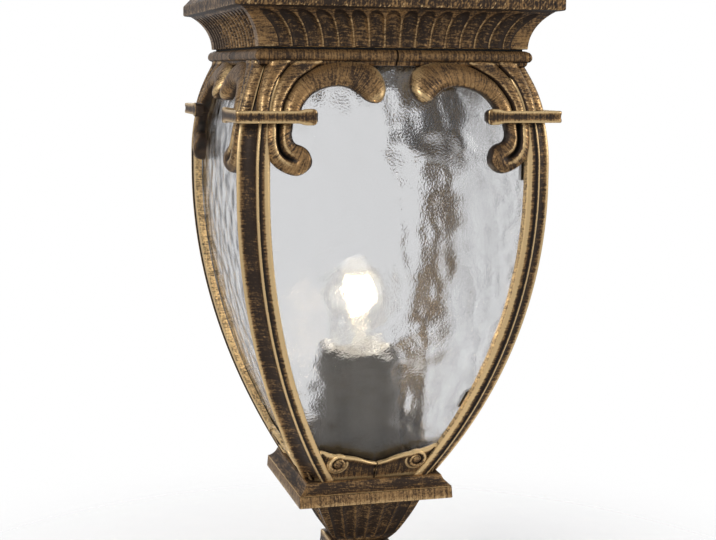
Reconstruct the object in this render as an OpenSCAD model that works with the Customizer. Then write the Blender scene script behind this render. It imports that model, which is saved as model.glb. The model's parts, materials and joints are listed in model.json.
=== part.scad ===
// Path light: a square lantern with bowed glass on a fluted cup and a flared pedestal.
// Millimetres. The origin is the bottom centre, Z is up and the front faces -Y.

/* [Pedestal] */
// Half width of the plinth at the ground
plinth_half = 70; // [62:1:90]
// Thickness of the plinth flange
plinth_t = 13; // [9:1:20]
// Height of the flared pedestal above the ground gasket
pedestal_h = 73.5; // [64:0.5:110]
// Half width of the pedestal where the flare meets the plinth
flare_foot_half = 46; // [40:1:52]
// Half width of the pedestal neck
neck_half = 19.5; // [17:0.5:22]
// Wall thickness of the pedestal casting
pedestal_wall = 4; // [3:0.5:5]
// Distance between neighbouring fixing holes
fixing_pitch = 116; // [108:1:124]
// Radius of a fixing hole
fixing_r = 3.5; // [2.5:0.1:4.5]
// Thickness of the rubber gasket under the plinth
ground_gasket_t = 2; // [1:0.5:4]

/* [Fluted cup] */
// Height of the cup
cup_h = 37; // [32:0.5:44]
// Half width of the cup at its top
cup_top_half = 33; // [31:0.5:36]
// Half width of the cup at its lower shoulder
cup_low_half = 23.5; // [22:0.5:26]
// Height of the rounded shoulder above the neck
cup_round = 7; // [5:0.5:9]
// Number of flutes on each side of the cup
cup_flutes = 5; // [3:1:5]

/* [Base plate] */
// Half width of the plate at its fascia
plate_half = 50; // [48:0.5:56]
// Height of the plate's upright fascia
plate_fascia_h = 7.5; // [5:0.5:10]
// Height of the hollow moulding above the fascia
plate_cove_h = 7.2; // [5:0.2:9]
// How far the hollow moulding draws in
plate_cove_in = 5.6; // [4:0.2:6]

/* [Cage] */
// Height of the cage from the plate to the top of its rails
cage_h = 266.2; // [225:0.2:320]
// Half width of the cage over its ribs at the widest height
belly_half = 95; // [80:0.5:112]
// Height of the widest part above the plate
belly_z = 187.8; // [160:0.2:200]
// Length of the straight stretch at the widest part
belly_flat = 10; // [6:1:14]
// Half width of the ribs where they stand on the plate
foot_half = 44.3; // [43:0.1:46]
// Half width of the ribs where they meet the top rail
shoulder_half = 82; // [70:0.5:98]
// Height of the top rail
rail_h = 9.4; // [8:0.2:12]
// Depth of the top rail from its nose to its inner face
rail_d = 16.5; // [14:0.5:20]
// Gap between two neighbouring corner castings
split_gap = 1; // [0.6:0.1:2]
// Width of the front or side leg of a rib
rib_leg = 18; // [16:0.5:20]
// Depth from the rib bead to the face that the glass lies against
rib_depth = 6; // [5:0.5:7]
// Height of the strap that binds the scrolls
strap_h = 7.2; // [5:0.2:9]
// How far the strap stands out of the cage outline
strap_proud = 5.7; // [4:0.1:7]
// How far the strap's centre lies below the top rail
strap_drop = 28.8; // [26:0.2:32]

/* [Glass] */
// Thickness of a pane
glass_t = 3; // [2:0.5:4]
// Clearance round a pane
glass_gap = 0.3; // [0.2:0.1:0.5]

/* [Roof] */
// How far the foot of the fluted cornice stands back from the cage's shoulder
cornice_inset = 0.8; // [0:0.1:3]
// Height of the hollow cornice
cornice_h = 21.5; // [18:0.5:26]
// How far the cornice swings out
cornice_out = 11.6; // [9:0.2:13]
// How far the eave stands out of the cornice's top
eave_step = 4.9; // [3:0.1:8]
// Height of the eave's fascia
eave_h = 6.9; // [5:0.1:9]
// Slope of the roof in degrees
roof_slope = 48; // [40:1:52]
// Half width of the flat block at the top of the roof
cap_half = 20; // [16:1:24]
// Wall thickness of the roof casting
roof_wall = 3.5; // [2.5:0.5:4.5]
// Full flutes on each half of a cornice side
cornice_flutes = 7; // [5:1:9]
// Thickness of the gasket between roof and rails
roof_gasket_t = 1; // [0.8:0.1:2]

/* [Lamp] */
// Outer radius of the sleeve round the lampholder
sleeve_r = 27.4; // [25:0.1:29]
// Height of the sleeve
sleeve_h = 75; // [68:1:80]
// Outer radius of the threaded tube
tube_r = 4.95; // [4.5:0.05:5.5]
// Radius of the wire way through the tube
tube_bore_r = 3.6; // [3.3:0.1:4]
// Radius of the bulb's globe
globe_r = 22.5; // [20:0.5:24]
// Radius of the bulb's screw cap
cap_r = 13; // [12.6:0.1:13.2]
// Radius of a wire over its insulation
wire_r = 1.1; // [0.9:0.1:1.2]

/* [Hidden] */
$fn = 96;
fit = 0.1; // clearance between a screw and its hole
bronze = "#5a4028";
steel = "#b4b4b8";
brass = "#c8a03c";
arc_fn = 240; // facets that a large moulding arc is previewed with

// Heights of the stack
pedestal_top = ground_gasket_t + pedestal_h;
plate_z = pedestal_top + cup_h;
fascia_top = plate_z + plate_fascia_h;
cage_z = fascia_top + plate_cove_h;
rail_top = cage_z + cage_h;
cornice_z = rail_top + roof_gasket_t;
soffit_z = cornice_z + cornice_h + 0.8;
cornice_half = shoulder_half - cornice_inset;
eave_half = cornice_half + cornice_out + eave_step;
eave_z = soffit_z + eave_h;
slope_rise = (eave_half - cap_half) * tan(roof_slope);
cap_z = eave_z + slope_rise;
cap_h = 10;
cap_top = cap_z + cap_h;

// The cage outline: one arc from the plate to the belly, a short straight, one arc to the rail
lower_d = belly_half - foot_half;
lower_r = (lower_d * lower_d + belly_z * belly_z) / (2 * lower_d);
upper_z = belly_z + belly_flat;
rail_z = cage_h - rail_h;
upper_d = belly_half - shoulder_half;
upper_run = rail_z - upper_z;
upper_r = (upper_d * upper_d + upper_run * upper_run) / (2 * upper_d);

// Half width of the cage over its beads at height z above the plate
function half_at(z) =
  z < belly_z ? belly_half - lower_r + sqrt(lower_r * lower_r - (belly_z - z) * (belly_z - z))
  : z < upper_z ? belly_half
  : belly_half - upper_r + sqrt(upper_r * upper_r - (z - upper_z) * (z - upper_z));

// Outward lean of the cage outline, as a slope
function lean_at(z) = (half_at(z + 0.5) - half_at(z - 0.5));

// A smooth curve through hand-placed points, four steps to each span
function blend4(a, b, c, d, t) =
  0.5 * (2 * b + (c - a) * t + (2 * a - 5 * b + 4 * c - d) * t * t
  + (3 * b - a - 3 * c + d) * t * t * t);
function smooth(p, steps = 4) = [
  for (i = [0 : len(p) - 2]) for (s = [0 : steps - 1])
    blend4(p[max(i - 1, 0)], p[i], p[i + 1], p[min(i + 2, len(p) - 1)], s / steps),
  p[len(p) - 1]
];
function reversed(p) = [for (i = [len(p) - 1 : -1 : 0]) p[i]];

// Drawings in a side view, pushed along Y or along X
module along_y(y0, y1) translate([0, y1, 0]) rotate([90, 0, 0]) linear_extrude(y1 - y0) children();
module along_x(x0, x1) translate([x0, 0, 0]) rotate([90, 0, 90]) linear_extrude(x1 - x0) children();
// The same half outline on both sides of the axis
module both_sides() {
  children();
  mirror([1, 0]) children();
}
// A square-plan body whose four sides share one half outline, drawn with its width at minus X
module square_body(reach) {
  intersection() {
    along_x(-reach, reach) both_sides() children();
    along_y(-reach, reach) both_sides() children();
  }
}
module at_corners(half) for (sx = [-1, 1], sy = [-1, 1]) translate([sx * half, sy * half, 0]) children();

// Region between the axis and the cage outline, moved outwards by grow
module under_outline(grow, z0, z1) {
  reach = belly_half + grow;
  intersection() {
    translate([-reach, z0]) square([reach, min(z1, belly_z) - z0]);
    translate([lower_r - belly_half, belly_z]) circle(lower_r + grow, $fn = arc_fn);
  }
  translate([-reach, belly_z]) square([reach, belly_flat]);
  intersection() {
    translate([-reach, upper_z]) square([reach, z1 - upper_z]);
    translate([upper_r - belly_half, upper_z]) circle(upper_r + grow, $fn = arc_fn);
  }
}
module wall_outline(outer, inner, z0, z1) difference() {
  under_outline(outer, z0, z1);
  under_outline(inner, z0 - 1, z1 + 1);
}

// Pedestal: ground gasket, flared casting, terminals

flare_run = pedestal_top - ground_gasket_t - plinth_t;
flare_d = flare_foot_half - neck_half;
flare_r = (flare_d * flare_d + flare_run * flare_run) / (2 * flare_d);
flare_z = ground_gasket_t + plinth_t;
plinth_bevel = 3;
web_t = 7; // thickness of the web that closes the pedestal's neck
shelf_z = flare_z + 6;
shelf_t = 5;
block_size = [28, 11, 12];
block_y = 12; // distance of the terminal block's centre from the axis

module flare_outline(inset) difference() {
  translate([-flare_foot_half + inset, flare_z]) square([flare_foot_half - inset, flare_run]);
  translate([-neck_half - flare_r, pedestal_top]) circle(flare_r + inset, $fn = arc_fn);
}
module base_gasket() color("#303030") difference() {
  translate([-plinth_half + 2, -plinth_half + 2, 0]) cube([2 * plinth_half - 4, 2 * plinth_half - 4, ground_gasket_t]);
  translate([-flare_foot_half, -flare_foot_half, -1])
    cube([2 * flare_foot_half, 2 * flare_foot_half, ground_gasket_t + 2]);
  at_corners(fixing_pitch / 2) translate([0, 0, -1]) cylinder(ground_gasket_t + 2, r = fixing_r + 0.5);
}
module pedestal() color(bronze) difference() {
  union() {
    square_body(plinth_half + 1) polygon([
      [0, ground_gasket_t], [-plinth_half, ground_gasket_t], [-plinth_half, flare_z - plinth_bevel],
      [-plinth_half + plinth_bevel, flare_z], [0, flare_z]
    ]);
    square_body(plinth_half + 1) flare_outline(0);
  }
  difference() {
    union() {
      square_body(plinth_half) intersection() {
        flare_outline(pedestal_wall);
        translate([-plinth_half, 0]) square([plinth_half, pedestal_top - web_t]);
      }
      translate([-flare_foot_half + pedestal_wall, -flare_foot_half + pedestal_wall, 0])
        cube([2 * (flare_foot_half - pedestal_wall), 2 * (flare_foot_half - pedestal_wall), flare_z + 0.1]);
    }
    // Shelf that carries the terminals, cast across the rear wall
    translate([-block_size.x / 2 - 4, block_y - block_size.y / 2 - 2, shelf_z])
      cube([block_size.x + 8, plinth_half, shelf_t]);
  }
  translate([0, 0, pedestal_top - web_t - 1]) cylinder(web_t + 2, r = tube_r + fit);
  at_corners(fixing_pitch / 2) translate([0, 0, 1]) cylinder(flare_z + 1, r = fixing_r);
  for (sx = [-1, 1]) translate([sx * screw_x, block_y, shelf_z - 1]) cylinder(shelf_t + 2, r = 1.5 + fit);
  translate([0, earth_y, shelf_z - 1]) cylinder(shelf_t + 2, r = 2 + fit);
}
screw_x = block_size.x / 2 - 3;
earth_y = block_y + block_size.y / 2 + 5;

module terminal_block() color("#e8e4d8") difference() {
  translate([-block_size.x / 2, block_y - block_size.y / 2, shelf_z + shelf_t]) cube(block_size);
  for (x = [-5, 5]) translate([x, block_y - block_size.y, shelf_z + shelf_t + block_size.z / 2])
    rotate([-90, 0, 0]) cylinder(2 * block_size.y, r = 1.6);
  for (x = [-5, 5]) translate([x, block_y, shelf_z + shelf_t + block_size.z / 2 + 3]) cylinder(block_size.z, r = 2);
  for (sx = [-1, 1]) translate([sx * screw_x, block_y, shelf_z]) cylinder(block_size.z + shelf_t + 1, r = 1.5 + fit);
}
// A slotted pan-head screw standing on its head's seat, shank down
module screw(shank_r, shank_l, head_r, head_h) {
  translate([0, 0, -shank_l]) cylinder(shank_l + 0.5, r = shank_r);
  difference() {
    intersection() {
      cylinder(head_h, r = head_r);
      translate([0, 0, head_h - 2.2 * head_r]) sphere(2.2 * head_r);
    }
    translate([-head_r, -0.4, head_h * 0.6]) cube([2 * head_r, 0.8, head_h]);
  }
}
module terminal_screws() color(steel) for (sx = [-1, 1])
  translate([sx * screw_x, block_y, shelf_z + shelf_t + block_size.z])
    screw(1.5, block_size.z + shelf_t - 1, 2.6, 1.8);
module earth_screw() color(brass) translate([0, earth_y, shelf_z + shelf_t]) {
  difference() {
    cylinder(0.8, r = 4);
    translate([0, 0, -1]) cylinder(3, r = 2 + fit);
  }
  translate([0, 0, 0.8 + 2 * wire_r]) screw(2, 2 * wire_r + shelf_t, 3.8, 2.4);
}

// Fluted cup between the pedestal and the plate
cup_z = pedestal_top;
cup_run = cup_h - cup_round;
cup_d = cup_top_half - cup_low_half;
cup_sag = 2.2; // how far the cup's side is hollowed
cup_chord = sqrt(cup_d * cup_d + cup_run * cup_run);
cup_side_r = cup_chord * cup_chord / (8 * cup_sag) + cup_sag / 2;
cup_lean = atan(cup_d / cup_run);
cup_mid = [-(cup_top_half + cup_low_half) / 2, cup_z + cup_round + cup_run / 2];
cup_side_c = cup_mid + (cup_side_r - cup_sag) * [-cos(cup_lean), -sin(cup_lean)];
cup_flute_pitch = 2 * (cup_low_half - 3) / cup_flutes;
flute_r = 0.45 * cup_flute_pitch;
flute_depth = 1.8;

module cup_outline() {
  difference() {
    translate([-cup_top_half, cup_z + cup_round]) square([cup_top_half, cup_run]);
    translate(cup_side_c) circle(cup_side_r, $fn = arc_fn);
  }
  intersection() {
    translate([-cup_low_half + cup_round, cup_z + cup_round]) circle(cup_round);
    translate([-cup_low_half, cup_z]) square([cup_low_half, cup_round]);
  }
  translate([-cup_low_half + cup_round, cup_z]) square([cup_low_half - cup_round, cup_round]);
}
// A round channel on the front face, bent about an axis along X at c, with its floor at floor_r
module bent_channel(c, floor_r, r) translate([0, c.x, c.y]) rotate([0, 90, 0])
  rotate_extrude() translate([floor_r - r, 0]) circle(r, $fn = 32);
// Centre of the circle through three points
function centre_of(a, b, c) =
  let (m = [2 * (b - a), 2 * (c - a)], v = [b * b - a * a, c * c - a * a], d = m[0].x * m[1].y - m[0].y * m[1].x)
  [(v.x * m[1].y - v.y * m[0].y) / d, (m[0].x * v.y - m[1].x * v.x) / d];
// Half width of the cup's hollowed side at height z
function cup_half(z) = -cup_side_c.x - sqrt(cup_side_r * cup_side_r - (z - cup_side_c.y) * (z - cup_side_c.y));
flute_foot_z = cup_z + cup_round;
flute_mid_z = cup_z + cup_h * 0.55;
flute_top_z = plate_z - 4;
flute_foot = [flute_depth - cup_half(flute_foot_z), flute_foot_z];
flute_c = centre_of(flute_foot, [flute_depth - cup_half(flute_mid_z), flute_mid_z], [-cup_half(flute_top_z), flute_top_z]);
module fluted_cup() color(bronze) difference() {
  square_body(cup_top_half + 1) cup_outline();
  for (side = [0 : 3]) rotate([0, 0, 90 * side])
    for (i = [0 : cup_flutes - 1])
      translate([(i - (cup_flutes - 1) / 2) * cup_flute_pitch, 0, 0])
        bent_channel(flute_c, norm(flute_foot - flute_c), flute_r);
  // Hollow of the casting, open to the plate above
  translate([-cup_low_half + 6, -cup_low_half + 6, cup_z + cup_round])
    cube([2 * (cup_low_half - 6), 2 * (cup_low_half - 6), cup_h]);
  translate([0, 0, cup_z - 1]) cylinder(cup_h, r = tube_r + fit);
}

// Square plate that the cage stands on
foot_screw = 34; // half pitch of the screws that hold the cage's feet
plate_cove_r = 11; // radius of the hollow moulding
module base_plate() color(bronze) difference() {
  square_body(plate_half + 1) difference() {
    polygon([
      [0, plate_z], [-plate_half, plate_z], [-plate_half + 0.5, fascia_top],
      [-plate_half + plate_cove_in + 0.5, cage_z], [0, cage_z]
    ]);
    translate([-plate_half + plate_cove_in - plate_cove_r + 0.8, cage_z + 2.6]) circle(plate_cove_r);
  }
  translate([-24, -24, plate_z - 1]) cube([48, 48, plate_fascia_h + 2]);
  translate([0, 0, plate_z]) cylinder(30, r = tube_r + fit);
  at_corners(foot_screw) {
    translate([0, 0, plate_z - 1]) cylinder(4.2, r = 4);
    translate([0, 0, plate_z]) cylinder(30, r = 2 + fit);
  }
}
module corner_screws() color(steel) at_corners(foot_screw)
  translate([0, 0, plate_z + 3.2]) rotate([180, 0, 0]) screw(2, plate_fascia_h + plate_cove_h - 3.2 + 9, 3.6, 2.6);

// Corner castings: a ribbed corner with half rails, a strap and scrollwork

bead = 0.8;
// Plan section of a rib, measured in from the point where the two bead planes meet
rib_cove_r = 7.2;
rib_front = [[rib_leg, rib_depth], [rib_leg, 2.2], [rib_leg - 1.2, bead], [14, 0], [11.2, bead]];
rib_cove = [for (a = [85 : -16 : 5]) [2.8 + rib_cove_r * cos(90 - a), 2.8 + rib_cove_r * sin(90 - a)]];
rib_web = 15;
rib_section = concat(
  rib_front,
  rib_cove,
  [for (p = reversed(rib_front)) [p.y, p.x]],
  [[rib_depth, rib_web], [rib_web - 2, rib_web], [rib_web, rib_web - 2], [rib_web, rib_depth]]
);
rib_rings = 24;
below = 1; // the casting is drawn this far below its foot, then trimmed flat
module rib() {
  n = len(rib_section);
  top = rail_z + 2;
  zs = [for (i = [0 : rib_rings]) -below + (top + below) * i / rib_rings];
  points = [for (z = zs) for (p = rib_section) [p.x - half_at(min(z, rail_z)), p.y - half_at(min(z, rail_z)), z]];
  sides = [for (k = [0 : rib_rings - 1]) for (i = [0 : n - 1])
    [k * n + i, k * n + (i + 1) % n, (k + 1) * n + (i + 1) % n, (k + 1) * n + i]];
  polyhedron(points, concat([[for (i = [0 : n - 1]) n - 1 - i]], sides,
    [[for (i = [0 : n - 1]) rib_rings * n + i]]), convexity = 8);
}

// A point of the scrollwork: share of the half width, and distance below the rail
function on_face(p) = [-p.x * half_at(rail_z - max(p.y, 0)), rail_z - p.y];
function face_curve(p, steps = 4) = [for (q = smooth(p, steps)) on_face(q)];
leaf_edge_1 = [[0.951, -1], [0.947, 15], [0.935, 27]];
leaf_edge_2 = [[0.763, -2], [0.818, 7], [0.838, 15.5], [0.843, 27]];
leaf_edge_3 = [[0.524, -1], [0.693, 8.6], [0.748, 18.3], [0.759, 27]];
leaf_tip = [
  [0.634, 27], [0.583, 17.1], [0.52, 13.7], [0.433, 11.9], [0.344, 12.5], [0.274, 15.9],
  [0.22, 19.9], [0.153, 21.4], [0.111, 19.3], [0.084, 14.1], [0.091, 8.3], [0.122, 2.5], [0.171, -1]
];
hook_left = [[0.856, 30], [0.845, 45.4], [0.808, 53.8], [0.746, 59], [0.665, 62]];
hook_groove = [[0.77, 30], [0.765, 39.7], [0.736, 46.6], [0.692, 52.3]];
hook_end = [
  [0.61, 60.9], [0.567, 56.9], [0.561, 52.9], [0.573, 48.9], [0.612, 45.5], [0.657, 43.8],
  [0.676, 41.5], [0.686, 38.1], [0.68, 30]
];
// Top edge of the bottom rail: share of the half width, and height above the plate
sill_edge = [[0, 11.6], [0.12, 13.2], [0.285, 16.7], [0.51, 19.3], [0.68, 24]];
function sill_point(p) = [-p.x * half_at(p.y), p.y];
volute = [0.49, 11.3];
volute_r = 5.6;

module relief(grow) intersection() {
  along_y(-belly_half - 8, -foot_half + 12) children();
  along_x(-belly_half, -split_gap / 2) wall_outline(grow, 0.5 - rib_depth, -below, rail_z + 1);
}
// A lower strand runs on under the next by this share of the half width, so that no two sides coincide
tuck = 0.02;
function tucked(p) = [for (q = p) [q.x - tuck, q.y + 10 * tuck]];
module face_half() {
  relief(0.6) polygon(concat(face_curve(leaf_edge_1), reversed(face_curve(tucked(leaf_edge_2)))));
  relief(1.4) polygon(concat(face_curve(leaf_edge_2), reversed(face_curve(tucked(leaf_edge_3)))));
  relief(2.2) polygon(concat(face_curve(leaf_edge_3), face_curve(leaf_tip)));
  relief(1.2) polygon(concat(face_curve(hook_left), reversed(face_curve(tucked(hook_groove)))));
  relief(2) polygon(concat(
    face_curve(hook_groove), face_curve(concat([[0.665, 62]], hook_end))
  ));
  relief(-3) polygon(concat(
    [[-split_gap / 2, -2 * below], [-split_gap / 2, sill_edge[0].y]],
    [for (q = smooth([for (p = sill_edge) sill_point(p)])) if (q.x < -split_gap / 2) q],
    [[-half_at(0) + rib_leg - 6, -2 * below]]
  ));
  relief(-0.8) translate(sill_point(volute)) circle(volute_r, $fn = 48);
  relief(0.6) translate(sill_point(volute)) circle(volute_r * 0.55, $fn = 48);
}
// Half of the binding strap on one face, with a swelled end
strap_end = 49.5 / 91.8;
strap_z = cage_h - rail_h - strap_drop;
strap_back = half_at(strap_z - strap_h / 2 - 1) - rib_depth + 0.4;
strap_half = half_at(strap_z) + strap_proud;
module strap_half_bar() {
  tip = strap_end * half_at(strap_z);
  translate([-strap_half, -strap_half, strap_z - strap_h / 2])
    cube([strap_half - tip - strap_h / 2, strap_half - strap_back, strap_h]);
  translate([-tip - strap_h / 2, -strap_half, strap_z]) rotate([-90, 0, 0])
    cylinder(strap_half - strap_back, r = strap_h / 2 + 0.6);
}
nose_r = 4;
rail_half = shoulder_half + 0.5;
rail_inner = rail_half - rail_d;
module rail_outline() {
  translate([-rail_half + nose_r, cage_h - nose_r]) circle(nose_r, $fn = 48);
  translate([-rail_half + nose_r, rail_z]) square([rail_half - nose_r, rail_h]);
}
module rail_corner() intersection() {
  difference() {
    square_body(rail_half + 1) rail_outline();
    translate([-rail_inner, -rail_inner, 0]) cube([2 * rail_inner, 2 * rail_inner, 2 * cage_h]);
  }
  translate([-rail_half - 1, -rail_half - 1, 0])
    cube([rail_half + 1 - split_gap / 2, rail_half + 1 - split_gap / 2, 2 * cage_h]);
}
tab_w = 44; // length of a splice across the gap between two rails
splice_x = 15;
splice_z = cage_h - rail_h / 2;
splice_t = 2;
clip_z = [52, 196];
clip_w = 12;
clip_t = 1.5;
module clip_frame(z) {
  // Local frame at a rib's inner flat: X points inwards along the diagonal
  p = half_at(z) - rib_web + 1;
  translate([-p, -p, z]) rotate([0, 0, 45]) rotate([0, -atan(sqrt(2) * lean_at(z)), 0]) children();
}
module corner_casting(turn) color(bronze) translate([0, 0, cage_z]) rotate([0, 0, turn]) difference() {
  union() {
    rib();
    rail_corner();
    face_half();
    mirror([1, -1, 0]) face_half();
    strap_half_bar();
    mirror([1, -1, 0]) strap_half_bar();
    translate([-foot_screw, -foot_screw, 0]) cylinder(10, r = 3.8);
  }
  translate([-2 * belly_half, -2 * belly_half, -20]) cube([2 * belly_half, 2 * belly_half, 20]);
  translate([-foot_screw, -foot_screw, -1]) cylinder(10.5, r = 2 + fit);
  for (z = clip_z) clip_frame(z) translate([-5, 0, 0]) rotate([0, 90, 0]) cylinder(8, r = 1.5 + fit);
  for (m = [0, 1]) mirror([m, -m, 0]) translate([-splice_x, -rail_inner + 1, splice_z]) rotate([90, 0, 0])
    cylinder(8, r = 1.5 + fit);
}
module corner_front_left() corner_casting(0);
module corner_front_right() corner_casting(90);
module corner_rear_right() corner_casting(180);
module corner_rear_left() corner_casting(270);

// Bowed panes behind the ribs, held by clips on the ribs' inner flats
pane_edge = rib_web + 0.5;
pane_face = rib_depth + glass_gap;
module pane(turn) color("#dfe6e8", 0.5) translate([0, 0, cage_z]) rotate([0, 0, turn]) intersection() {
  along_x(-belly_half, belly_half) wall_outline(-pane_face, -pane_face - glass_t, glass_gap, rail_z - glass_gap);
  along_y(-belly_half, 0) both_sides() under_outline(-pane_edge, 0, rail_z);
}
module glass_front() pane(0);
module glass_right() pane(90);
module glass_rear() pane(180);
module glass_left() pane(270);
module at_clips() translate([0, 0, cage_z]) for (turn = [0 : 90 : 270]) rotate([0, 0, turn])
  for (z = clip_z) clip_frame(z) children();
clip_reach = (rib_web - pane_face - glass_t - 1) * sqrt(2) - 0.9;
clip_seat = 0.3;
module glass_clips() color(steel) at_clips() difference() {
  translate([clip_seat, -clip_reach, -clip_w / 2]) cube([clip_t, 2 * clip_reach, clip_w]);
  translate([-1, 0, 0]) rotate([0, 90, 0]) cylinder(clip_t + 3, r = 1.5 + fit);
}
module clip_screws() color(steel) at_clips() translate([clip_seat + clip_t, 0, 0]) rotate([0, 90, 0])
  screw(1.5, 5.5, 2.8, 1.8);

// Splices across the rail gaps, front and rear, and the cross bar's tabs at the sides
module splice_blank() difference() {
  translate([-tab_w / 2, -rail_inner, splice_z - 4]) cube([tab_w, splice_t, 8]);
  for (sx = [-1, 1]) translate([sx * splice_x, -rail_inner - 1, splice_z]) rotate([-90, 0, 0])
    cylinder(splice_t + 2, r = 1.5 + fit);
}
module splice_plates() color(steel) translate([0, 0, cage_z])
  for (turn = [0, 180]) rotate([0, 0, turn]) splice_blank();
module splice_screws() color(steel) translate([0, 0, cage_z]) for (turn = [0 : 90 : 270]) rotate([0, 0, turn])
  for (sx = [-1, 1]) translate([sx * splice_x, -rail_inner + splice_t, splice_z]) rotate([-90, 0, 0])
    screw(1.5, 8, 2.8, 1.8);
bar_w = 18;
bar_t = 3;
bar_z = cage_h - rail_h / 2 + 1;
module cross_bar() color(steel) translate([0, 0, cage_z]) difference() {
  union() {
    for (turn = [90, 270]) rotate([0, 0, turn]) splice_blank();
    translate([-rail_inner, -bar_w / 2, bar_z]) cube([2 * rail_inner, bar_w, bar_t]);
  }
  translate([0, 0, bar_z - 1]) cylinder(bar_t + 2, r = stud_r + fit);
}

// Stud, nuts, roof and finial
stud_r = 3;
stud_tip = 14;
nut_h = 5;
module hex_nut(af, h, bore) difference() {
  cylinder(h, r = af / sqrt(3), $fn = 6);
  translate([0, 0, -1]) cylinder(h + 2, r = bore);
}
module roof_stud() color(steel) translate([0, 0, cage_z + bar_z - nut_h - 3])
  cylinder(cap_top + stud_tip - cage_z - bar_z + nut_h + 3, r = stud_r);
module stud_nuts() color(steel) translate([0, 0, cage_z + bar_z]) {
  translate([0, 0, -nut_h]) hex_nut(10, nut_h, stud_r + 0.05);
  translate([0, 0, bar_t]) hex_nut(10, nut_h, stud_r + 0.05);
}
module roof_gasket() color("#303030") difference() {
  side = rail_half - nose_r;
  translate([-side, -side, rail_top]) cube([2 * side, 2 * side, roof_gasket_t]);
  translate([-rail_inner - 1, -rail_inner - 1, rail_top - 1])
    cube([2 * rail_inner + 2, 2 * rail_inner + 2, roof_gasket_t + 2]);
}
cove_r = (cornice_out * cornice_out + cornice_h * cornice_h) / (2 * cornice_out);
cove_c = [-cornice_half - cove_r, cornice_z];
channel_pitch = cornice_half / (cornice_flutes + 0.73);
channel_r = channel_pitch * 0.44;
channel_depth = 2.3;
channel_top = cornice_h - 2; // height at which a channel runs out in a round arch
roof_slack = roof_wall / sin(roof_slope);
module cornice_outline() difference() {
  translate([-cornice_half - cornice_out, cornice_z]) square([cornice_half + cornice_out, cornice_h]);
  translate(cove_c) circle(cove_r, $fn = arc_fn);
}
module roof_outline() polygon([
  [0, cornice_z + cornice_h], [-cornice_half - cornice_out, cornice_z + cornice_h],
  [-eave_half, soffit_z], [-eave_half, eave_z], [-cap_half, cap_z], [-cap_half, cap_top], [0, cap_top]
]);
module roof_hollow() polygon([
  [0, cornice_z - 1], [-cornice_half + 9, cornice_z - 1], [-cornice_half + 9, cornice_z + 3],
  [-cornice_half + 3, cornice_z + 10], [-cornice_half - cornice_out + 9, cornice_z + cornice_h - 2],
  [-eave_half + roof_slack + 1, eave_z - 1], [-eave_half + roof_slack, eave_z],
  [-cap_half + roof_slack, cap_z], [0, cap_z]
]);
// A round channel down the cornice: its floor is an arc that meets the hollow at channel_top
module cornice_channel(r) {
  depth = channel_depth * r / channel_r;
  run_in = cove_r - sqrt(cove_r * cove_r - channel_top * channel_top) + depth;
  floor_r = (run_in * run_in + channel_top * channel_top) / (2 * run_in);
  bent_channel([depth - cornice_half - floor_r, cornice_z], floor_r, r);
}
module roof() color(bronze) difference() {
  union() {
    difference() {
      square_body(eave_half + 1) cornice_outline();
      for (turn = [0 : 90 : 270]) rotate([0, 0, turn]) for (s = [-1, 1]) {
        for (i = [0 : cornice_flutes - 1]) translate([s * (i + 0.5) * channel_pitch, 0, 0])
          cornice_channel(channel_r);
        translate([s * (cornice_flutes + 0.36) * channel_pitch, 0, 0]) cornice_channel(channel_r * 0.7);
      }
    }
    square_body(eave_half + 1) roof_outline();
  }
  square_body(eave_half + 1) roof_hollow();
  translate([0, 0, cap_z - 1]) cylinder(cap_h + 2, r = stud_r + 0.5);
}
module finial_washer() color("#303030") translate([0, 0, cap_top]) difference() {
  cylinder(1.5, r = 12);
  translate([0, 0, -1]) cylinder(4, r = stud_r + 0.5);
}
finial_z = cap_top + 1.5;
module finial() color(bronze) translate([0, 0, finial_z]) difference() {
  rotate_extrude() difference() {
    union() {
      square([14, 3]);
      translate([0, 3]) square([9, 3]);
      translate([9, 4.5]) circle(1.5, $fn = 32);
      translate([0, 6]) square([6, 8]);
      translate([6, 13]) circle(2, $fn = 32);
      translate([0, 24.5]) circle(11);
      translate([0, 34]) square([4.5, 3.5]);
      translate([0, 39]) circle(4.5, $fn = 48);
    }
    translate([-20, -1]) square([20, 60]);
  }
  translate([0, 0, -1]) cylinder(stud_tip, r = stud_r + 0.05);
}

// Lampholder inside its sleeve, on the threaded tube that ties the stack together
sleeve_t = 1;
sleeve_z = cage_z;
tube_foot = pedestal_top - web_t - 9;
tube_top = cage_z + 36;
holder_z = cage_z + 29;
holder_h = 47;
holder_r = 21;
shell_z = holder_z + 24;
module lamp_sleeve() color("#4c463c") translate([0, 0, sleeve_z]) difference() {
  cylinder(sleeve_h, r = sleeve_r);
  translate([0, 0, 1.5]) cylinder(sleeve_h, r = sleeve_r - sleeve_t);
  translate([0, 0, -1]) cylinder(5, r = tube_r + fit);
}
module threaded_tube() color(steel) difference() {
  translate([0, 0, tube_foot]) cylinder(tube_top - tube_foot, r = tube_r);
  translate([0, 0, tube_foot - 1]) cylinder(tube_top - tube_foot + 2, r = tube_bore_r);
}
washer_t = 1;
module tube_washers() color(steel) {
  for (z = [pedestal_top - web_t - washer_t, sleeve_z + 1.5]) translate([0, 0, z]) difference() {
    cylinder(washer_t, r = 9);
    translate([0, 0, -1]) cylinder(washer_t + 2, r = tube_r + fit);
  }
}
module tube_nuts() color(brass) {
  translate([0, 0, pedestal_top - web_t - washer_t - 4]) hex_nut(14, 4, tube_r + 0.05);
  translate([0, 0, sleeve_z + 1.5 + washer_t]) hex_nut(14, 4, tube_r + 0.05);
  translate([0, 0, holder_z - 3]) hex_nut(14, 3, tube_r + 0.05);
}
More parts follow.
